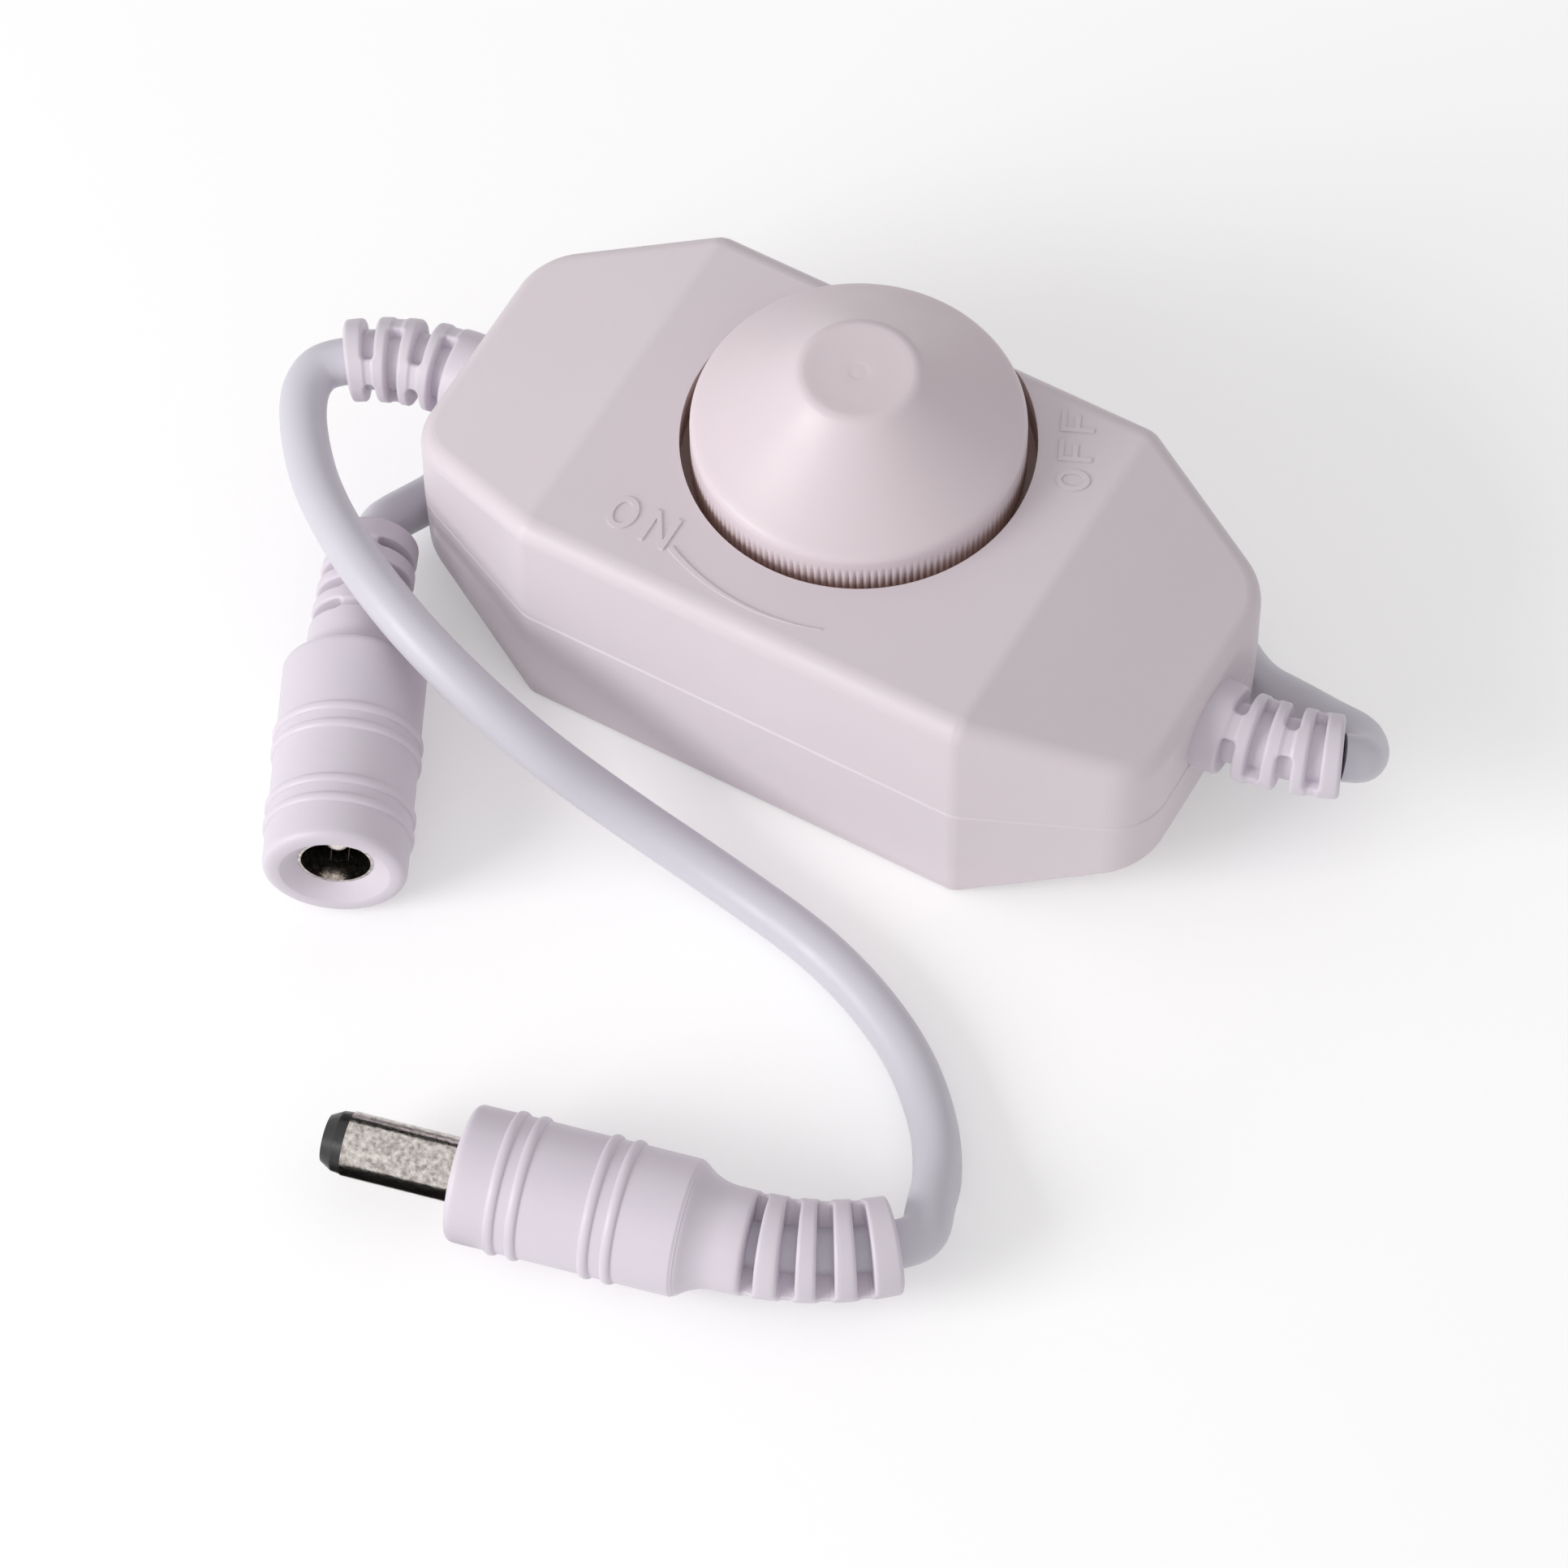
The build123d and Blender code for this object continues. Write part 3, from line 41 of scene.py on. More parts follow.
# The view: a long lens looks down from the front right and a little under 0.7 m away, turned so
# that the case runs from the upper left to the lower right of the square frame.
eye = Vector((184.78, -332.27, 588.06)) * mm
looked_at = Vector((2.935, -14.785, 0.0)) * mm
camera_roll = math.radians(-0.572)
camera_data = bpy.data.cameras.new("long_lens")
camera_data.sensor_width = 36.0
camera_data.lens = 186.5
camera_data.clip_start = 0.05
camera = bpy.data.objects.new("long_lens", camera_data)
aim = (looked_at - eye).to_track_quat("-Z", "Y") @ Quaternion((0, 0, 1), camera_roll)
camera.matrix_world = Matrix.LocRotScale(eye, aim, None)
bpy.context.scene.collection.objects.link(camera)
bpy.context.scene.camera = camera
bpy.context.scene.view_settings.view_transform = "Standard"

# The floor: a pale sheet that the dimmer lies on. It shows white to the camera and to shiny
# surfaces, and keeps the soft shadow.
floor_half, floor_drop = 2.5, 0.05 * mm
floor_tone, floor_lift = 0.92, 0.25
floor_mesh = bpy.data.meshes.new("floor")
floor_mesh.from_pydata(
    [
        (-floor_half, -floor_half, -floor_drop),
        (floor_half, -floor_half, -floor_drop),
        (floor_half, floor_half, -floor_drop),
        (-floor_half, floor_half, -floor_drop),
    ],
    [],
    [(0, 1, 2, 3)],
)
floor = bpy.data.objects.new("floor", floor_mesh)
bpy.context.scene.collection.objects.link(floor)


def feed(tree, value, socket):
    """Gives a socket its value, linked or plain."""
    if hasattr(value, "links"):
        tree.links.new(value, socket)
    else:
        socket.default_value = value


def calc(tree, operation, first, second):
    """Result of a math node on two values, each linked or plain."""
    node = tree.nodes.new("ShaderNodeMath")
    node.operation = operation
    feed(tree, first, node.inputs[0])
    feed(tree, second, node.inputs[1])
    return node.outputs[0]


def seen_directly(tree):
    """One for a ray from the camera, a shiny surface or glass, and nothing for the lamps' light."""
    path = tree.nodes.new("ShaderNodeLightPath")
    camera_ray, glossy_ray = path.outputs["Is Camera Ray"], path.outputs["Is Glossy Ray"]
    either = calc(tree, "MAXIMUM", camera_ray, glossy_ray)
    return calc(tree, "MAXIMUM", either, path.outputs["Is Transmission Ray"])


def bare_material(name):
    """Material without nodes, and its node tree."""
    material = bpy.data.materials.new(name)
    material.use_nodes = True
    material.node_tree.nodes.clear()
    return material, material.node_tree


floor_paint, tree = bare_material("pale_floor")
sheet = tree.nodes.new("ShaderNodeBsdfDiffuse")
sheet.inputs["Color"].default_value = (floor_tone, floor_tone, floor_tone, 1)
lift = tree.nodes.new("ShaderNodeEmission")
feed(tree, calc(tree, "MULTIPLY", seen_directly(tree), floor_lift), lift.inputs["Strength"])
joined = tree.nodes.new("ShaderNodeAddShader")
tree.links.new(sheet.outputs[0], joined.inputs[0])
tree.links.new(lift.outputs[0], joined.inputs[1])
tree.links.new(joined.outputs[0], tree.nodes.new("ShaderNodeOutputMaterial").inputs["Surface"])
floor_mesh.materials.append(floor_paint)

# The light: an even pale room, and one wide soft lamp from the front left that makes the left
# flanks the brightest and leaves the right end in soft shade.
light_level, seen_level = 0.57, 1.0
room = bpy.data.worlds.new("pale_room")
room.use_nodes = True
tree = room.node_tree
background = tree.nodes["Background"]
background.inputs["Color"].default_value = (1.0, 0.985, 0.99, 1)
level = tree.nodes.new("ShaderNodeMapRange")
level.inputs["To Min"].default_value = light_level
level.inputs["To Max"].default_value = seen_level
tree.links.new(seen_directly(tree), level.inputs["Value"])
tree.links.new(level.outputs["Result"], background.inputs["Strength"])
bpy.context.scene.world = room

lamp_data = bpy.data.lights.new("front_left_lamp", "AREA")
lamp_data.shape = "SQUARE"
lamp_data.size = 0.45
lamp_data.energy = 4.5
lamp = bpy.data.objects.new("front_left_lamp", lamp_data)
lamp_place, lamp_target = Vector((-0.46, -0.66, 0.38)), Vector((0, 0, 0.01))
lamp_turn = (lamp_target - lamp_place).to_track_quat("-Z", "Y")
lamp.matrix_world = Matrix.LocRotScale(lamp_place, lamp_turn, None)
bpy.context.scene.collection.objects.link(lamp)

# The reflected cards: two black cards, one upright behind the case and one that lies in front of
# the plug, give the bright metal its dark streaks. Only shiny surfaces see them.
back_card_corners = [(-300, 200, 20), (300, 200, 20), (300, 200, 220), (-300, 200, 220)]
barrel_card_corners = [
    (-12.9, -69.2, 0.2), (2.7, -65.6, 0.2), (8.7, -90.9, 0.2), (-6.9, -94.5, 0.2),
]
card_tone = 0.01
for name, corners in (("back_card", back_card_corners), ("barrel_card", barrel_card_corners)):
    mesh = bpy.data.meshes.new(name)
    places = [tuple(value * mm for value in corner) for corner in corners]
    mesh.from_pydata(places, [], [(0, 1, 2, 3)])
    paint, tree = bare_material(name)
    path = tree.nodes.new("ShaderNodeLightPath")
    clear = tree.nodes.new("ShaderNodeBsdfTransparent")
    black = tree.nodes.new("ShaderNodeBsdfDiffuse")
    black.inputs["Color"].default_value = (card_tone, card_tone, card_tone, 1)
    choice = tree.nodes.new("ShaderNodeMixShader")
    tree.links.new(path.outputs["Is Glossy Ray"], choice.inputs[0])
    tree.links.new(clear.outputs[0], choice.inputs[1])
    tree.links.new(black.outputs[0], choice.inputs[2])
    tree.links.new(choice.outputs[0], tree.nodes.new("ShaderNodeOutputMaterial").inputs["Surface"])
    mesh.materials.append(paint)
    card = bpy.data.objects.new(name, mesh)
    bpy.context.scene.collection.objects.link(card)

# The cords: round two-core leads in a smooth cool white vinyl jacket, 4.1 mm thick. The left one
# ends in the plug and the right one passes behind the case to the jack.
cord_diameter = 4.1 * mm
left_route = [
    (-46.47, -3.18, 13.95),
    (-48.02, -4.17, 13.75),
    (-48.6, -6.0, 13.6),
    (-48.0, -8.4, 13.5),
    (-45.7, -11.9, 13.5),
    (-41.6, -16.3, 13.9),
    (-34.5, -21.2, 14.6),
    (-25.7, -25.3, 14.2),
    (-15.4, -27.1, 10.4),
    (-6.6, -26.3, 4.8),
    (4.3, -26.7, 2.1),
    (15.3, -28.8, 2.1),
    (24.6, -33.1, 2.1),
    (30.5, -38.4, 2.15),
    (33.8, -43.7, 3.4),
    (35.0, -47.4, 5.3),
    (35.9, -49.6, 5.97),
    (35.64, -51.18, 6.17),
    (34.40, -52.27, 6.17),
]
right_route = [
    (46.80, 2.28, 14.6),
    (47.9, 2.8, 14.4),
    (48.0, 4.1, 13.0),
    (47.4, 5.6, 11.8),
    (46.0, 7.1, 10.6),
    (42.8, 8.6, 8.1),
    (38.6, 10.5, 5.4),
    (33.6, 12.2, 2.8),
    (27.0, 17.4, 2.3),
    (19.0, 21.6, 2.1),
    (8.0, 23.2, 2.1),
    (-4.0, 23.0, 2.1),
    (-15.0, 22.6, 2.1),
    (-25.5, 20.4, 2.1),
    (-32.7, 16.4, 2.1),
    (-36.2, 11.2, 2.1),
    (-36.9, 5.6, 2.1),
    (-36.4, 0.4, 2.2),
    (-36.7, -4.6, 2.8),
    (-37.6, -8.1, 4.2),
    (-38.15, -10.5, 5.3),
    (-38.43, -12.35, 5.94),
    (-37.85, -13.89, 6.07),
]


def cord_curve(name, route):
    """Smooth curve of one spline whose control points are the route, with the cord's thickness.

    The bevel is one metre deep and each point's radius scales it down to the cord's own, so that
    the curve's box is as large as the cord and no larger.
    """
    data = bpy.data.curves.new(name, "CURVE")
    data.dimensions = "3D"
    spline = data.splines.new("NURBS")
    spline.points.add(len(route) - 1)
    spline.points.foreach_set("co", np.c_[np.array(route) * mm, np.ones(len(route))].ravel())
    spline.points.foreach_set("radius", np.full(len(route), cord_diameter / 2))
    spline.order_u = 3
    spline.use_endpoint_u = True
    data.resolution_u = 16
    data.bevel_depth = 1.0
    data.bevel_resolution = 10
    data.use_fill_caps = True
    cord = bpy.data.objects.new(name, data)
    bpy.context.scene.collection.objects.link(cord)
    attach(cord, "case")
    return cord


def shader_group(name, inputs, outputs):
    """Empty shader node group with named inputs (name, kind, value) and outputs (name, kind)."""
    group = bpy.data.node_groups.new(name, "ShaderNodeTree")
    for label, kind, value in inputs:
        socket = group.interface.new_socket(
            name=label, in_out="INPUT", socket_type="NodeSocket" + kind
        )
        if value is not None:
            socket.default_value = value
    for label, kind in outputs:
        group.interface.new_socket(name=label, in_out="OUTPUT", socket_type="NodeSocket" + kind)
    return group, group.nodes.new("NodeGroupInput"), group.nodes.new("NodeGroupOutput")


def noise(tree, vector, scale, detail, roughness):
    """Fractal noise at a scale in turns per metre, linked or plain."""
    node = tree.nodes.new("ShaderNodeTexNoise")
    node.inputs["Detail"].default_value = detail
    node.inputs["Roughness"].default_value = roughness
    tree.links.new(vector, node.inputs["Vector"])
    feed(tree, scale, node.inputs["Scale"])
    return node.outputs["Fac"]


def spread(tree, value, low, high, to_low=0.0, to_high=1.0):
    """Value carried from one range to another and kept inside it, each limit linked or plain."""
    node = tree.nodes.new("ShaderNodeMapRange")
    feed(tree, low, node.inputs["From Min"])
    feed(tree, high, node.inputs["From Max"])
    feed(tree, to_low, node.inputs["To Min"])
    feed(tree, to_high, node.inputs["To Max"])
    tree.links.new(value, node.inputs["Value"])
    return node.outputs["Result"]


def mixed(tree, share, first, second):
    """Colour between two linked colours, by a linked share of the second."""
    node = tree.nodes.new("ShaderNodeMix")
    node.data_type = "RGBA"
    tree.links.new(share, node.inputs["Factor"])
    tree.links.new(first, node.inputs["A"])
    tree.links.new(second, node.inputs["B"])
    return node.outputs["Result"]


# Skin of a moulded or extruded plastic: broad faint clouding of the colour, a fine grain in the
# surface, small rubbed patches that shine a little more, and a few hairline scuffs.
skin_group, skin_in, skin_out = shader_group(
    "plastic_skin",
    [
        ("Vector", "Vector", None),
        ("Light", "Color", (0.8, 0.8, 0.8, 1)),
        ("Dark", "Color", (0.7, 0.7, 0.7, 1)),
        ("Cloud Scale", "Float", 60.0),
        ("Grain Scale", "Float", 4000.0),
        ("Gloss Low", "Float", 0.35),
        ("Gloss High", "Float", 0.5),
        ("Scuffs", "Float", 0.3),
    ],
    [("Color", "Color"), ("Roughness", "Float"), ("Height", "Float")],
)
rub_share = 3.7
scuff_scale, scuff_turn, scuff_stretch = 2600.0, (0.3, 0.2, 0.7), (0.06, 1.0, 1.0)
place, cloud_scale = skin_in.outputs["Vector"], skin_in.outputs["Cloud Scale"]
clouds = spread(skin_group, noise(skin_group, place, cloud_scale, 4.0, 0.55), 0.32, 0.68)
tint = mixed(skin_group, clouds, skin_in.outputs["Dark"], skin_in.outputs["Light"])
skin_group.links.new(tint, skin_out.inputs["Color"])
rub_scale = calc(skin_group, "MULTIPLY", cloud_scale, rub_share)
rubbed = noise(skin_group, place, rub_scale, 3.0, 0.6)
shine_low, shine_high = skin_in.outputs["Gloss Low"], skin_in.outputs["Gloss High"]
shine = spread(skin_group, rubbed, 0.35, 0.65, shine_low, shine_high)
skin_group.links.new(shine, skin_out.inputs["Roughness"])
grain = noise(skin_group, place, skin_in.outputs["Grain Scale"], 2.0, 0.6)
stretched = skin_group.nodes.new("ShaderNodeMapping")
stretched.inputs["Rotation"].default_value = scuff_turn
stretched.inputs["Scale"].default_value = scuff_stretch
skin_group.links.new(place, stretched.inputs["Vector"])
hair = noise(skin_group, stretched.outputs["Vector"], scuff_scale, 1.0, 0.4)
hairlines = spread(skin_group, hair, 0.7, 0.78)
scuffs = calc(skin_group, "MULTIPLY", hairlines, skin_in.outputs["Scuffs"])
skin_group.links.new(calc(skin_group, "SUBTRACT", grain, scuffs), skin_out.inputs["Height"])


def plastic(name, light, dark, cloud, grain_size, gloss, relief, scuffs=0.3, soft=0.0):
    """Plastic finish whose skin group sets colour, shine and grain.

    Light and dark are the ends of its clouding. The sizes of the clouds and the grain and the
    relief are in millimetres. Gloss is its least and greatest roughness, scuffs the depth of the
    scuffs beside the grain's, and soft the share of light that enters it.
    """
    material = bpy.data.materials.new(name)
    material.use_nodes = True
    tree = material.node_tree
    shader = tree.nodes["Principled BSDF"]
    shader.inputs["Subsurface Weight"].default_value = soft
    shader.inputs["Subsurface Radius"].default_value = (1.0, 0.8, 0.8)
    shader.inputs["Subsurface Scale"].default_value = 1.2 * mm
    skin = tree.nodes.new("ShaderNodeGroup")
    skin.node_tree = skin_group
    skin.inputs["Light"].default_value = (*light, 1)
    skin.inputs["Dark"].default_value = (*dark, 1)
    skin.inputs["Cloud Scale"].default_value = 1 / (cloud * mm)
    skin.inputs["Grain Scale"].default_value = 1 / (grain_size * mm)
    skin.inputs["Gloss Low"].default_value, skin.inputs["Gloss High"].default_value = gloss
    skin.inputs["Scuffs"].default_value = scuffs
    where = tree.nodes.new("ShaderNodeTexCoord")
    tree.links.new(where.outputs["Object"], skin.inputs["Vector"])
    tree.links.new(skin.outputs["Color"], shader.inputs["Base Color"])
    tree.links.new(skin.outputs["Roughness"], shader.inputs["Roughness"])
    bump = tree.nodes.new("ShaderNodeBump")
    bump.inputs["Distance"].default_value = relief * mm
    bump.inputs["Strength"].default_value = 1.0
    tree.links.new(skin.outputs["Height"], bump.inputs["Height"])
    tree.links.new(bump.outputs["Normal"], shader.inputs["Normal"])
    return material


def coat(piece, material):
    """The piece's only finish."""
    piece.data.materials.clear()
    piece.data.materials.append(material)


cord_vinyl = plastic(
    "cord_vinyl",
    light=(0.66, 0.645, 0.705),
    dark=(0.635, 0.62, 0.68),
    cloud=14,
    grain_size=0.35,
    gloss=(0.36, 0.46),
    relief=0.004,
    scuffs=0.5,
    soft=0.1,
)
left_cord = cord_curve("left_lead", left_route)
right_cord = cord_curve("right_lead", right_route)
for cord, node in ((left_cord, "left_cord"), (right_cord, "right_cord")):
    coat(cord, cord_vinyl)
    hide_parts(node)
for name in ("left_cord_inlet", "right_cord_inlet", "plug_cord_inlet", "jack_cord_inlet"):
    coat(nodes[name], cord_vinyl)

# The case: two shells moulded in fine satin warm white plastic, closed along a level line. The
# upper one carries the knob's well and the raised ON and OFF, and a warm painted shade darkens
# the colour inside the well.
knob_centre = (-0.4, 4.2)
well_radius = 15.05
case_height = 25.5
well_floor = 21.6
# Painted shade: inside the well's radius, between its floor and just below its rim, the colour is
# mixed towards a warm darker tone that stands in for the shadow deep in the well.
shade_group, shade_in, shade_out = shader_group(
    "well_shade",
    [
        ("Vector", "Vector", None),
        ("Color", "Color", (0.8, 0.8, 0.8, 1)),
        ("Shade", "Color", (0.3, 0.2, 0.2, 1)),
    ],
    [("Color", "Color")],
)
axes = shade_group.nodes.new("ShaderNodeSeparateXYZ")
shade_group.links.new(shade_in.outputs["Vector"], axes.inputs[0])
height = axes.outputs["Z"]
across = calc(shade_group, "SUBTRACT", axes.outputs["X"], knob_centre[0] * mm)
along = calc(shade_group, "SUBTRACT", axes.outputs["Y"], knob_centre[1] * mm)
across_squared = calc(shade_group, "MULTIPLY", across, across)
along_squared = calc(shade_group, "MULTIPLY", along, along)
reach = calc(shade_group, "ADD", across_squared, along_squared)
reach_none, reach_full = ((well_radius + 0.1) * mm) ** 2, ((well_radius + 0.02) * mm) ** 2
inside = spread(shade_group, reach, reach_none, reach_full)
below_rim = spread(shade_group, height, (case_height + 0.3) * mm, (case_height - 1.3) * mm)
above_floor = spread(shade_group, height, (well_floor - 0.3) * mm, (well_floor - 0.1) * mm)
between = calc(shade_group, "MULTIPLY", below_rim, above_floor)
in_well = calc(shade_group, "MULTIPLY", inside, between)
pooled = mixed(shade_group, in_well, shade_in.outputs["Color"], shade_in.outputs["Shade"])
shade_group.links.new(pooled, shade_out.inputs["Color"])


def shaded_in_well(material):
    """Adds the warm painted shade of the well to a plastic finish's colour."""
    tree = material.node_tree
    pool = tree.nodes.new("ShaderNodeGroup")
    pool.node_tree = shade_group
    # The colour of the painted shade in the well.
    pool.inputs["Shade"].default_value = (0.66, 0.50, 0.46, 1)
    skin = next(
        node for node in tree.nodes if node.type == "GROUP" and node.node_tree == skin_group
    )
    where = next(node for node in tree.nodes if node.type == "TEX_COORD")
    tree.links.new(where.outputs["Object"], pool.inputs["Vector"])
    tree.links.new(skin.outputs["Color"], pool.inputs["Color"])
    tree.links.new(pool.outputs["Color"], tree.nodes["Principled BSDF"].inputs["Base Color"])


case_plastic = plastic(
    "case_plastic",
    light=(0.745, 0.675, 0.715),
    dark=(0.725, 0.655, 0.695),
    cloud=22,
    grain_size=0.22,
    gloss=(0.40, 0.5),
    relief=0.004,
    scuffs=0.35,
    soft=0.06,
)
shaded_in_well(case_plastic)
for name in ("upper_cover", "lower_cover"):
    coat(nodes[name], case_plastic)

# The knob: a hollow cone of the same plastic, smoother than the case, with a fine moulded knurl
# below a plain band and a flat top. It is pushed on to the flatted shaft.
knob_plastic = plastic(
    "knob_plastic",
    light=(0.77, 0.675, 0.715),
    dark=(0.75, 0.66, 0.70),
    cloud=18,
    grain_size=0.3,
    gloss=(0.36, 0.44),
    relief=0.003,
    scuffs=0.25,
    soft=0.06,
)
# The knob's knurled skirt down in the well gets the same painted shade.
shaded_in_well(knob_plastic)


def skin_mesh(name, grid, material, sharp, looped):
    """Mesh over a grid of points, closed round its columns.

    A looped grid also closes from its last row to its first. Otherwise each end row shrinks to
    one pole. Corners P(i, j), P(i, j + 1), P(i + 1, j + 1), P(i + 1, j) make the face (i, j).
    """
    rows, columns = grid.shape[:2]
    index = np.arange(rows * columns).reshape(rows, columns)
    upper = np.roll(index, -1, axis=0) if looped else index[1:]
    lower = index if looped else index[:-1]
    quads = np.stack(
        [lower, np.roll(lower, -1, axis=1), np.roll(upper, -1, axis=1), upper], axis=-1
    )
    points = grid.reshape(-1, 3)
    corners = quads.reshape(-1)
    starts = np.arange(0, len(corners), 4)
    if not looped:
        points = np.vstack([points, grid[0].mean(axis=0), grid[-1].mean(axis=0)])
        first, last = rows * columns, rows * columns + 1
        at_first = np.stack([np.full(columns, first), np.roll(index[0], -1), index[0]], axis=-1)
        at_last = np.stack([np.full(columns, last), index[-1], np.roll(index[-1], -1)], axis=-1)
        fans = np.vstack([at_first, at_last]).reshape(-1)
        starts = np.r_[starts, len(corners) + np.arange(0, len(fans), 3)]
        corners = np.r_[corners, fans]
    mesh = bpy.data.meshes.new(name)
    mesh.vertices.add(len(points))
    mesh.vertices.foreach_set("co", (points * mm).ravel())
    mesh.loops.add(len(corners))
    mesh.loops.foreach_set("vertex_index", corners)
    mesh.polygons.add(len(starts))
    mesh.polygons.foreach_set("loop_start", starts)
    mesh.update(calc_edges=True)
    mesh.polygons.foreach_set("use_smooth", np.ones(len(starts), dtype=bool))
    mesh.set_sharp_from_angle(angle=math.radians(sharp))
    piece = bpy.data.objects.new(name, mesh)
    bpy.context.scene.collection.objects.link(piece)
    coat(piece, material)
    return piece


def turned(profile, ripple, count, columns):
    """Profile (radius, height) turned about the knob's axis, with toothed rows.

    r(i, t) = r_i - ripple_i (1 - |cos(count t / 2)|), so that the rim has count teeth.
    """
    angle = 2 * np.pi * np.arange(columns) / columns
    tooth = 1 - np.abs(np.cos(count * angle / 2))
    radius = profile[:, :1] - ripple[:, None] * tooth
    height = np.repeat(profile[:, 1:], columns, axis=1)
    x = knob_centre[0] + radius * np.cos(angle)
    y = knob_centre[1] + radius * np.sin(angle)
    return np.stack([x, y, height], axis=-1)


def arc_points(centre, radius, start, end, steps):
    """Points on a circle arc (x, y) from a start to an end angle in degrees."""
    angle = np.radians(np.linspace(start, end, steps))
    return np.c_[centre[0] + radius * np.cos(angle), centre[1] + radius * np.sin(angle)]


rim, knurl_top, band_top, plateau, top = 14.15, 26.8, 28.2, 5.0, 35.6
knob_bottom, cavity_radius, shaft_bore = 22.2, 12.17, 3.05
hub_radius, hub_bottom, bore_top, cavity_top = 5.2, 25.3, 33.0, 33.65
rim_round, top_round = 1.1, 1.4
flank_hollow, flank_inward = 0.22, np.array([0.62, 0.78])
knurl_count, knurl_depth, knurl_fade = 148, 0.26, 1.6
slope = math.degrees(math.atan2(top - band_top, plateau - rim))
rim_tangent = rim_round * math.tan(math.radians(slope - 90) / 2)
top_tangent = top_round * math.tan(math.radians(180 - slope) / 2)
side_way = np.array([math.cos(math.radians(slope)), math.sin(math.radians(slope))])
flank_start = np.array([rim, band_top]) + rim_tangent * side_way
flank_end = np.array([plateau, top]) - top_tangent * side_way
flank_share = np.linspace(0, 1, 17)[1:-1, None]
flank = flank_start + (flank_end - flank_start) * flank_share
flank -= flank_hollow * 4 * flank_share * (1 - flank_share) * flank_inward
skirt = [(13.75, knob_bottom), (rim - 0.06, 22.3)]
skirt += [(rim, height) for height in (22.5, 24.0, 25.3, 25.7, 26.1, 26.5, knurl_top)]
skirt += [(rim, knurl_top + 0.2), (rim, band_top - rim_tangent - 0.05)]
plateau_dish = [(4.0, 0.06), (3.0, 0.12), (2.0, 0.16), (1.0, 0.18), (0.9, 0.19)]
plateau_dish += [(0.8, 0.21), (0.45, 0.21), (0.15, 0.2)]
outer = np.vstack([
    skirt,
    arc_points((rim - rim_round, band_top - rim_tangent), rim_round, 0, slope - 90, 9),
    flank,
    arc_points((plateau - top_tangent, top - top_round), top_round, slope - 90, 90, 9),
    [(radius, top - dip) for radius, dip in plateau_dish],
])
inner = np.array([
    (0.2, bore_top),
    (shaft_bore, bore_top),
    (shaft_bore, hub_bottom),
    (hub_radius, hub_bottom),
    (hub_radius, cavity_top),
    (5.85, cavity_top),
    (cavity_radius, knurl_top),
    (cavity_radius, knob_bottom),
])
profile = np.vstack([inner, outer])
fade = np.clip((knurl_top + 0.2 - profile[:, 1]) / knurl_fade, 0, 1)
ripple = knurl_depth * fade * (profile[:, 0] > 13.9)
knob = skin_mesh(
    "knob_cap",
    turned(profile, ripple, knurl_count, knurl_count * 6),
    knob_plastic,
    sharp=38,
    looped=False,
)
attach(knob, "knob")
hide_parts("knob")

# The glands: soft light grey vinyl sleeves moulded round each cord and clamped in the end wall,
# slotted on alternate sides so that they bend with the cord.
grip_vinyl = plastic(
    "grip_vinyl",
    light=(0.725, 0.67, 0.74),
    dark=(0.705, 0.65, 0.72),
    cloud=10,
    grain_size=0.25,
    gloss=(0.38, 0.5),
    relief=0.006,
    scuffs=0.4,
    soft=0.08,
)


def carried(start, heading, lean, turn, length, distance, radius):
    """Points at a radius field r(s, t) round an axis that bends evenly over its length.

    C(s) = start + R sin(s / R) heading + R (1 - cos(s / R)) lean with R = length / turn for
    s > 0 and straight before that, P = C + r (cos t X + sin t Y) with X = heading x lean and
    Y = tangent x X.
    """
    heading, lean = np.array(heading, float), np.array(lean, float)
    heading /= np.linalg.norm(heading)
    lean /= np.linalg.norm(lean)
    bend = length / math.radians(turn)
    swing = np.maximum(distance, 0)[:, None] / bend
    straight = np.minimum(distance, 0)[:, None] * heading
    curved = bend * np.sin(swing) * heading + bend * (1 - np.cos(swing)) * lean
    centre = np.array(start) + straight + curved
    tangent = np.cos(swing) * heading + np.sin(swing) * lean
    first = np.cross(heading, lean)
    second = np.cross(tangent, first)
    columns = radius.shape[1]
    angle = 2 * np.pi * np.arange(columns) / columns
    outward = np.cos(angle)[:, None] * first + np.sin(angle)[:, None] * second[:, None, :]
    return centre[:, None, :] + radius[:, :, None] * outward


def stations(low, high, pitch, edges):
    """Distances from low to high at an even pitch, gathered closely round each edge."""
    near = np.array([-0.3, -0.2, -0.12, -0.07, -0.03, 0.0, 0.03, 0.07, 0.12, 0.2, 0.3])
    close = (np.array(edges)[:, None] + near).ravel()
    even = np.linspace(low, high, int((high - low) / pitch) + 2)
    every = np.unique(np.round(np.r_[even, close, low, high], 3))
    return every[(every >= low) & (every <= high)]


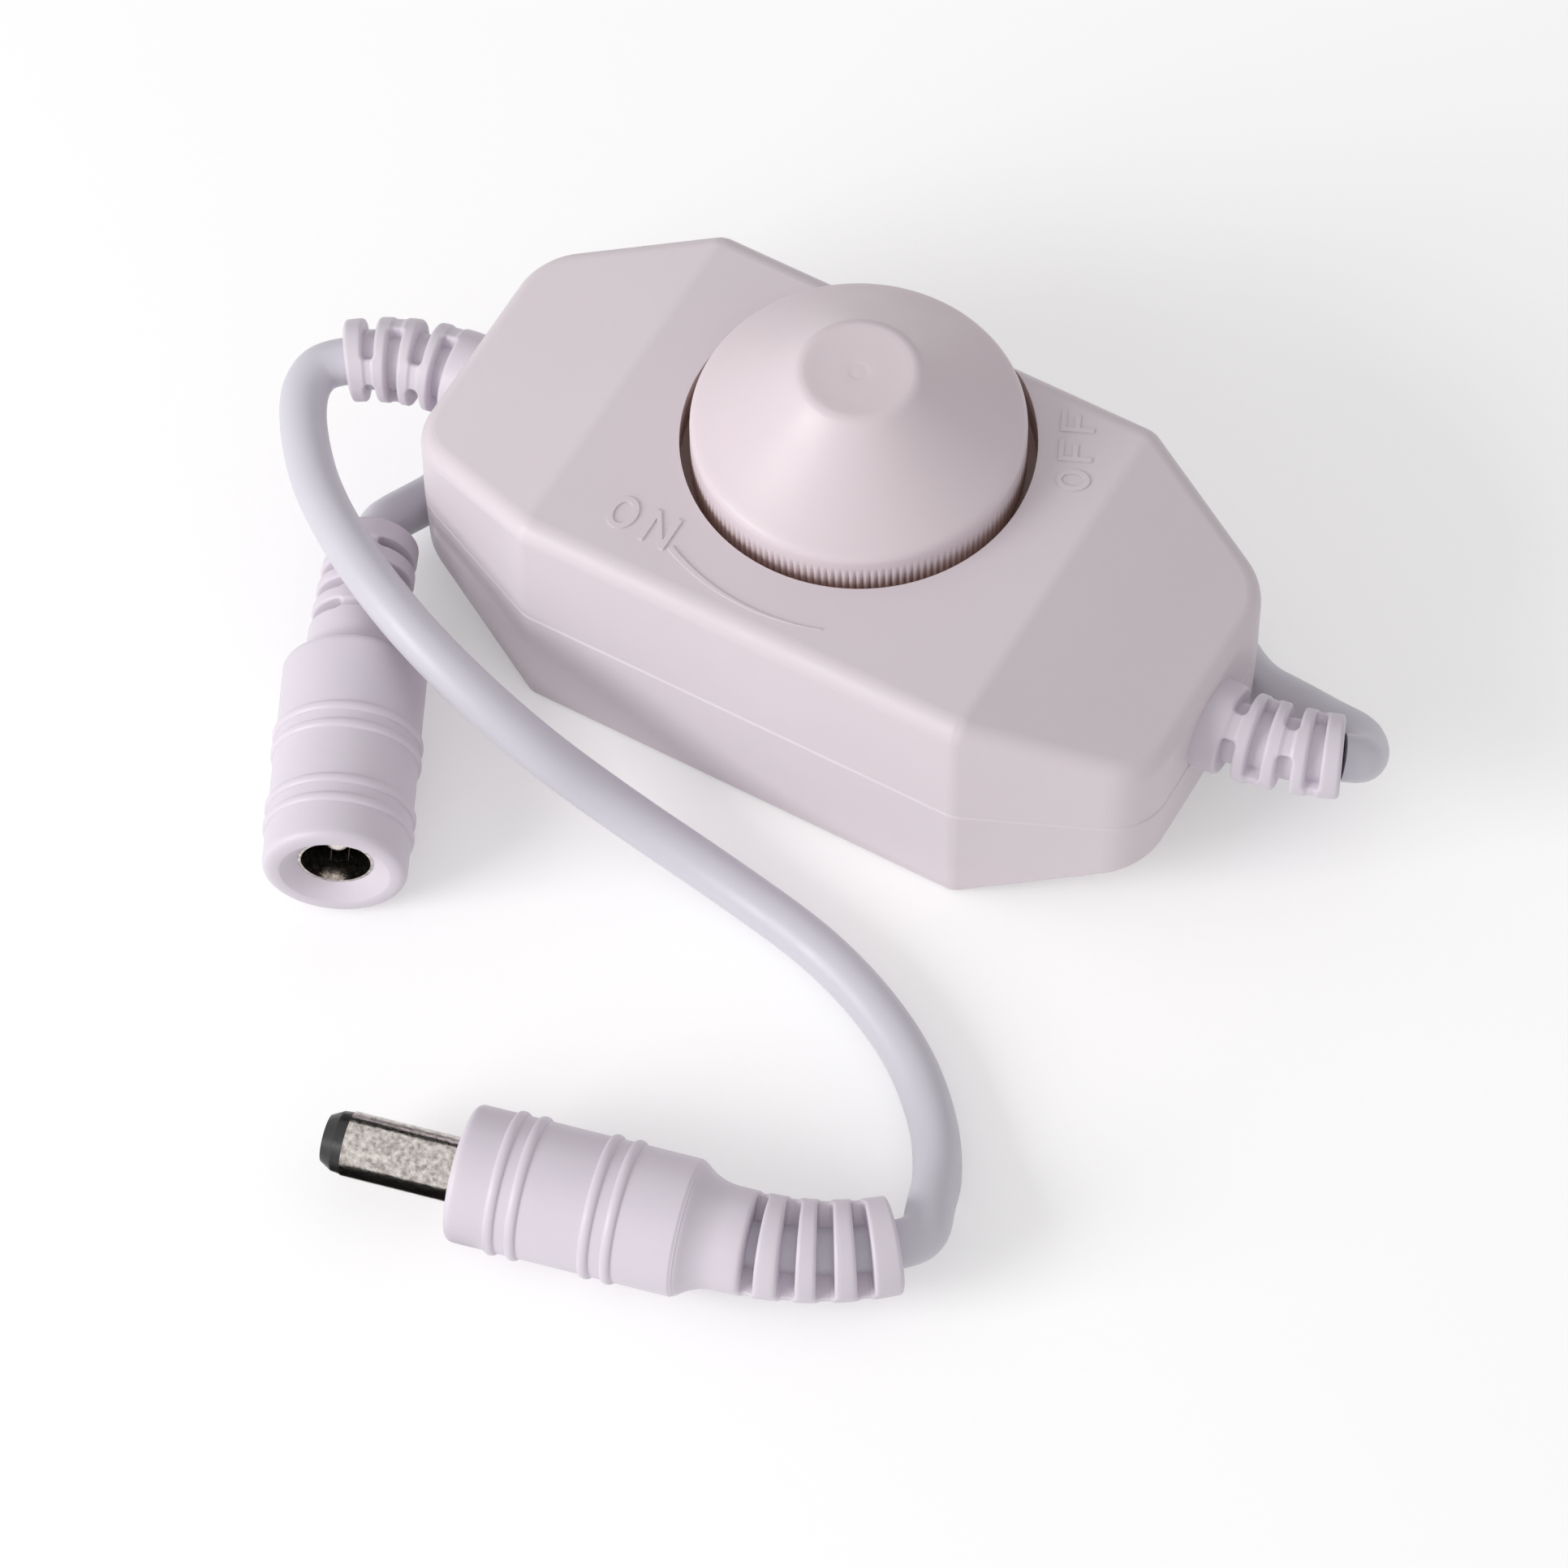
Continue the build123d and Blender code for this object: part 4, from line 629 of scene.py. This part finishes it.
def slotted(distance, plain, rings, gaps, bridge, bridge_angles, bottom):
    """Radius field of a slotted sleeve that starts at distance zero.

    A slot is the stretch of a gap where |r sin(t - bridge angle)| is more than half the bridge,
    with its corners rounded by c: w = c - |(max(c - g, 0), max(c - b, 0))| for the distances g
    and b from its sides. Inside a slot the radius is its bottom's. Outside, the edge is rounded
    by q: r = plain - q (1 - sqrt(1 - (1 - e / q)^2)) at a distance e < q from the nearest slot.
    """
    corner, rounding, lip_round = 0.45, 0.32, 0.4
    bridge_dip, dip_run = 0.14, 0.3
    angle = 2 * np.pi * np.arange(sleeve_columns) / sleeve_columns
    deepest = np.full((len(distance), sleeve_columns), -9.0)
    dip = np.zeros(len(distance))
    start = 0.0
    for ring, gap, bridge_angle in zip(rings, gaps, bridge_angles):
        start += ring
        aside = gap / 2 - np.abs(distance - start - gap / 2)
        sideways = np.abs(np.sin(angle - math.radians(bridge_angle)))
        off_bridge = plain[:, None] * sideways - bridge / 2
        lack = np.hypot(np.maximum(corner - aside[:, None], 0), np.maximum(corner - off_bridge, 0))
        deepest = np.maximum(deepest, corner - lack)
        dip = np.maximum(dip, np.clip(aside / dip_run, 0, 1))
        start += gap
    near = np.clip(1 + deepest / rounding, 0, 1)
    edge_drop = rounding * (1 - np.sqrt(1 - near**2))
    lip = np.clip(1 - (start + rings[-1] - distance) / lip_round, 0, 1)
    lip_drop = lip_round * (1 - np.sqrt(1 - lip**2))
    outside = plain[:, None] - edge_drop - lip_drop[:, None] - bridge_dip * dip[:, None]
    return np.where(deepest > 0, bottom, outside)


def gap_edges(rings, gaps):
    """Distances of all sides of the gaps."""
    edges, start = [], 0.0
    for ring, gap in zip(rings, gaps):
        edges += [start + ring, start + ring + gap]
        start += ring + gap
    return edges


sleeve_columns, lip_edge = 224, 0.3
bore, grip_slot_floor, gland_slot_floor = 1.9, 2.0, 2.6
gland_rings, gland_gaps, gland_bridge = [2.1, 1.0, 1.1, 1.1, 1.6], [1.2, 1.2, 1.2, 1.1], 2.6
gland_length, gland_root, gland_taper = 11.6, 4.0, 0.45
gland_foot = np.array([
    (-3.2, bore), (-3.2, 4.0), (-3.1, 4.13), (-1.71, 4.13), (-1.71, 3.6), (-0.02, 3.6),
])
for name, start, heading, lean, turn, bridge_angle in (
    ("left_gland", (-35.5, 0, 14.6), (-1, 0, 0), (0, -0.98, -0.199), 33.0, 45.0),
    ("right_gland", (35.5, 0, 14.6), (1, 0, 0), (0, 1, 0), 22.8, 24.0),
):
    edges = gap_edges(gland_rings, gland_gaps) + [gland_length - lip_edge]
    outside = stations(0.0, gland_length, 0.3, edges)
    plain = gland_root - gland_taper * outside / gland_length
    angles = [bridge_angle + 90 * step for step in range(4)]
    sleeve = slotted(
        outside, plain, gland_rings, gland_gaps, gland_bridge, angles, gland_slot_floor
    )
    back = np.linspace(gland_length, -3.0, 24)
    distance = np.r_[gland_foot[:, 0], outside, back]
    foot_rows = np.repeat(gland_foot[:, 1:], sleeve_columns, axis=1)
    radius = np.vstack([foot_rows, sleeve, np.full((len(back), sleeve_columns), bore)])
    points = carried(start, heading, lean, turn, gland_length, distance, radius)
    gland = skin_mesh(name + "_sleeve", points, grip_vinyl, sharp=40, looped=True)
    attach(gland, "case")
    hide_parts(name)

# The grips of the plug and the jack: the same vinyl, moulded over the metal parts and the cord,
# with raised rings for the fingers, a swept shoulder and a slotted strain relief.
neck_radius, face_round, grip_bridge = 4.4, 0.7, 2.4
ridge_height, ridge_half = 0.28, 0.45
crease_run, crease_depth = 0.25, 0.12


def grip_radius(distance, radius, body, taper, neck, ridges, rings, gaps, tip, bridge_angle):
    """Radius field of a moulded grip over the distance from its face.

    The face is rounded by 0.7, each finger ring adds 0.28 sqrt(1 - (d / 0.45)^2), and the
    shoulder is the arc r = n + R - sqrt(R^2 - (end - d)^2) with R = (taper^2 + drop^2) / 2 drop.
    """
    drop = radius - neck_radius
    sweep = (taper**2 + drop**2) / (2 * drop)
    face = np.clip(1 - distance / face_round, 0, 1)
    body_radius = radius - face_round * (1 - np.sqrt(1 - face**2))
    for ridge in ridges:
        swell = np.clip(1 - ((distance - ridge) / ridge_half) ** 2, 0, 1)
        body_radius += ridge_height * np.sqrt(swell)
    to_end = np.clip(body + taper - distance, 0, taper)
    shoulder = neck_radius + sweep - np.sqrt(sweep**2 - to_end**2)
    share = np.clip((distance - body) / crease_run * 0.5 + 0.5, 0, 1)
    plain = np.where(distance < body, body_radius, np.minimum(body_radius, shoulder))
    plain -= crease_depth * 4 * share * (1 - share)
    past = distance - body - taper - neck
    along_relief = np.clip(past / (sum(rings) + sum(gaps)), 0, 1)
    plain = np.where(past > 0, neck_radius + (tip - neck_radius) * along_relief, plain)
    angles = [bridge_angle] * len(gaps)
    relief = slotted(past, plain, rings, gaps, grip_bridge, angles, grip_slot_floor)
    return np.where(past[:, None] > rings[0] * 0.5, relief, plain[:, None])


def grip(
    name, face, heading, lean, turn, mouth,
    radius, body, taper, neck, ridges, rings, gaps, tip, bridge_angle,
):
    """Closed surface of a grip: mouth rows, the radius field, and the bore back through it.

    It runs from its face along its heading in degrees, and its relief bends by turn degrees
    towards lean. The mouth's rows are (distance, radius) from its inner end out to the face.
    """
    mouth = np.array(mouth)
    bore_start = mouth[0, 0]
    start = body + taper + neck
    length = sum(rings) + sum(gaps)
    edges = [ridge + side * ridge_half for ridge in ridges for side in (-1, 0, 1)]
    edges += [0.3, body, start + length - lip_edge]
    edges += [start + edge for edge in gap_edges(rings, gaps)]
    outside = stations(0.0, start + length, 0.45, edges)
    field = grip_radius(outside, radius, body, taper, neck, ridges, rings, gaps, tip, bridge_angle)
    back = np.linspace(start + length, bore_start, 30)
    distance = np.r_[mouth[:, 0], outside, back, bore_start]
    rows = np.vstack([
        np.repeat(mouth[:, 1:], sleeve_columns, axis=1),
        field,
        np.full((len(back), sleeve_columns), bore),
        np.full((1, sleeve_columns), mouth[0, 1]),
    ])
    way = np.array([math.cos(math.radians(heading)), math.sin(math.radians(heading)), 0])
    origin = np.array(face) + way * start
    points = carried(origin, way, lean, turn, length, distance - start, rows)
    piece = skin_mesh(name + "_grip", points, grip_vinyl, sharp=40, looped=True)
    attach(piece, "case")
    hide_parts(name)
    return piece


plug_heading, jack_heading = 13.3, 115.9
plug_left = (-math.sin(math.radians(plug_heading)), math.cos(math.radians(plug_heading)), 0)
plug_grip = grip(
    "plug_overmould",
    face=(0.1, -63.6, 6.17),
    heading=plug_heading,
    lean=plug_left,
    turn=28.0,
    mouth=[(6.0, 3.33), (0.0, 3.33), (0.0, 4.2)],
    radius=5.8,
    body=19.45,
    taper=3.2,
    neck=0.75,
    ridges=[3.95, 5.8, 12.0, 13.9],
    rings=[1.2, 1.7, 1.5, 1.6, 2.2],
    gaps=[1.0, 1.3, 1.35, 1.25],
    tip=4.1,
    bridge_angle=118.6,
)
jack_grip = grip(
    "jack_overmould",
    face=(-23.6, -44.4, 6.52),
    heading=jack_heading,
    lean=(0.6753, 0.3279, -0.6606),
    turn=7.0,
    mouth=[(14.2, 3.22), (1.2, 3.22), (0.03, 4.62), (0.0, 4.7), (0.0, 5.1)],
    radius=6.15,
    body=20.0,
    taper=2.3,
    neck=0.3,
    ridges=[3.9, 5.75, 11.2, 12.95],
    rings=[1.55, 1.3, 1.2, 1.5, 2.0],
    gaps=[0.9, 0.9, 0.9, 0.85],
    tip=3.85,
    bridge_angle=133.7,
)


# The bare contacts: nickel plated brass, drawn and turned, with fine scratches round the barrel
# and dull specks where the plating has worn, set in black moulded insulators.
def metal(name, light, dark, cloud, grain_size, gloss, relief, scuffs=0.3):
    """Metal finish made from the plastic skin."""
    material = plastic(name, light, dark, cloud, grain_size, gloss, relief, scuffs)
    material.node_tree.nodes["Principled BSDF"].inputs["Metallic"].default_value = 1.0
    return material


def coat_all(material, names):
    """One finish on several nodes."""
    for name in names:
        coat(nodes[name], material)


nickel = metal(
    "nickel",
    light=(0.74, 0.70, 0.66),
    dark=(0.30, 0.27, 0.25),
    cloud=0.45,
    grain_size=0.4,
    gloss=(0.10, 0.26),
    relief=0.012,
    scuffs=0.6,
)
coat_all(nickel, ("plug_barrel", "plug_contact", "jack_sleeve", "jack_spring"))
bright_nickel = metal(
    "bright_nickel",
    light=(0.86, 0.83, 0.78),
    dark=(0.76, 0.73, 0.69),
    cloud=1.2,
    grain_size=0.2,
    gloss=(0.14, 0.22),
    relief=0.001,
    scuffs=0.2,
)
coat_all(bright_nickel, ("jack_pin",))
coat_all(
    plastic(
        "black_plastic", (0.018, 0.018, 0.019), (0.008, 0.008, 0.009), 3, 0.2, (0.25, 0.4), 0.003
    ),
    ("plug_insulator", "jack_insulator", "pot_rotor", "transistor_body", "timer_chip", "diode"),
)

# The inside: a brown paper laminate board on four posts, a potentiometer whose bushing clamps the
# well floor, and through-hole components soldered below.
coat_all(
    metal("zinc_steel", (0.46, 0.46, 0.45), (0.36, 0.36, 0.35), 2, 0.1, (0.3, 0.45), 0.004),
    ("case_screws", "board_screws", "pot_washer"),
)
coat_all(
    metal("pressed_sheet", (0.60, 0.60, 0.58), (0.50, 0.50, 0.48), 3, 0.15, (0.28, 0.42), 0.003),
    ("pot_can", "pot_terminals", "transistor_tab"),
)
coat_all(
    metal("turned_brass", (0.72, 0.53, 0.22), (0.62, 0.43, 0.16), 3, 0.12, (0.22, 0.36), 0.003),
    ("pot_bushing", "pot_nut", "pot_shaft", "pot_wiper"),
)
coat_all(
    metal("bright_solder", (0.66, 0.66, 0.65), (0.56, 0.56, 0.55), 1, 0.3, (0.2, 0.32), 0.01),
    ("solder_joints",),
)
coat_all(
    plastic("board_laminate", (0.42, 0.28, 0.11), (0.36, 0.23, 0.08), 5, 0.12, (0.42, 0.55), 0.004),
    ("circuit_board",),
)
coat_all(
    plastic("phenolic", (0.26, 0.145, 0.06), (0.21, 0.11, 0.045), 3, 0.15, (0.38, 0.5), 0.003),
    ("pot_wafer",),
)
coat_all(
    plastic("carbon_print", (0.03, 0.03, 0.03), (0.02, 0.02, 0.02), 1.5, 0.08, (0.5, 0.65), 0.004),
    ("resistance_track",),
)
coat_all(
    plastic("beige_lacquer", (0.60, 0.45, 0.27), (0.55, 0.41, 0.24), 1.5, 0.2, (0.25, 0.36), 0.003),
    ("resistors",),
)
coat_all(
    plastic("dark_sleeve", (0.03, 0.03, 0.07), (0.02, 0.02, 0.05), 3, 0.2, (0.22, 0.3), 0.002),
    ("capacitor",),
)
coat_all(
    plastic("red_vinyl", (0.52, 0.02, 0.02), (0.46, 0.016, 0.016), 4, 0.3, (0.34, 0.44), 0.003),
    ("left_red_core", "right_red_core"),
)
coat_all(
    plastic("black_vinyl", (0.025,) * 3, (0.018,) * 3, 4, 0.3, (0.34, 0.44), 0.003),
    ("left_black_core", "right_black_core"),
)

bpy.context.view_layer.update()
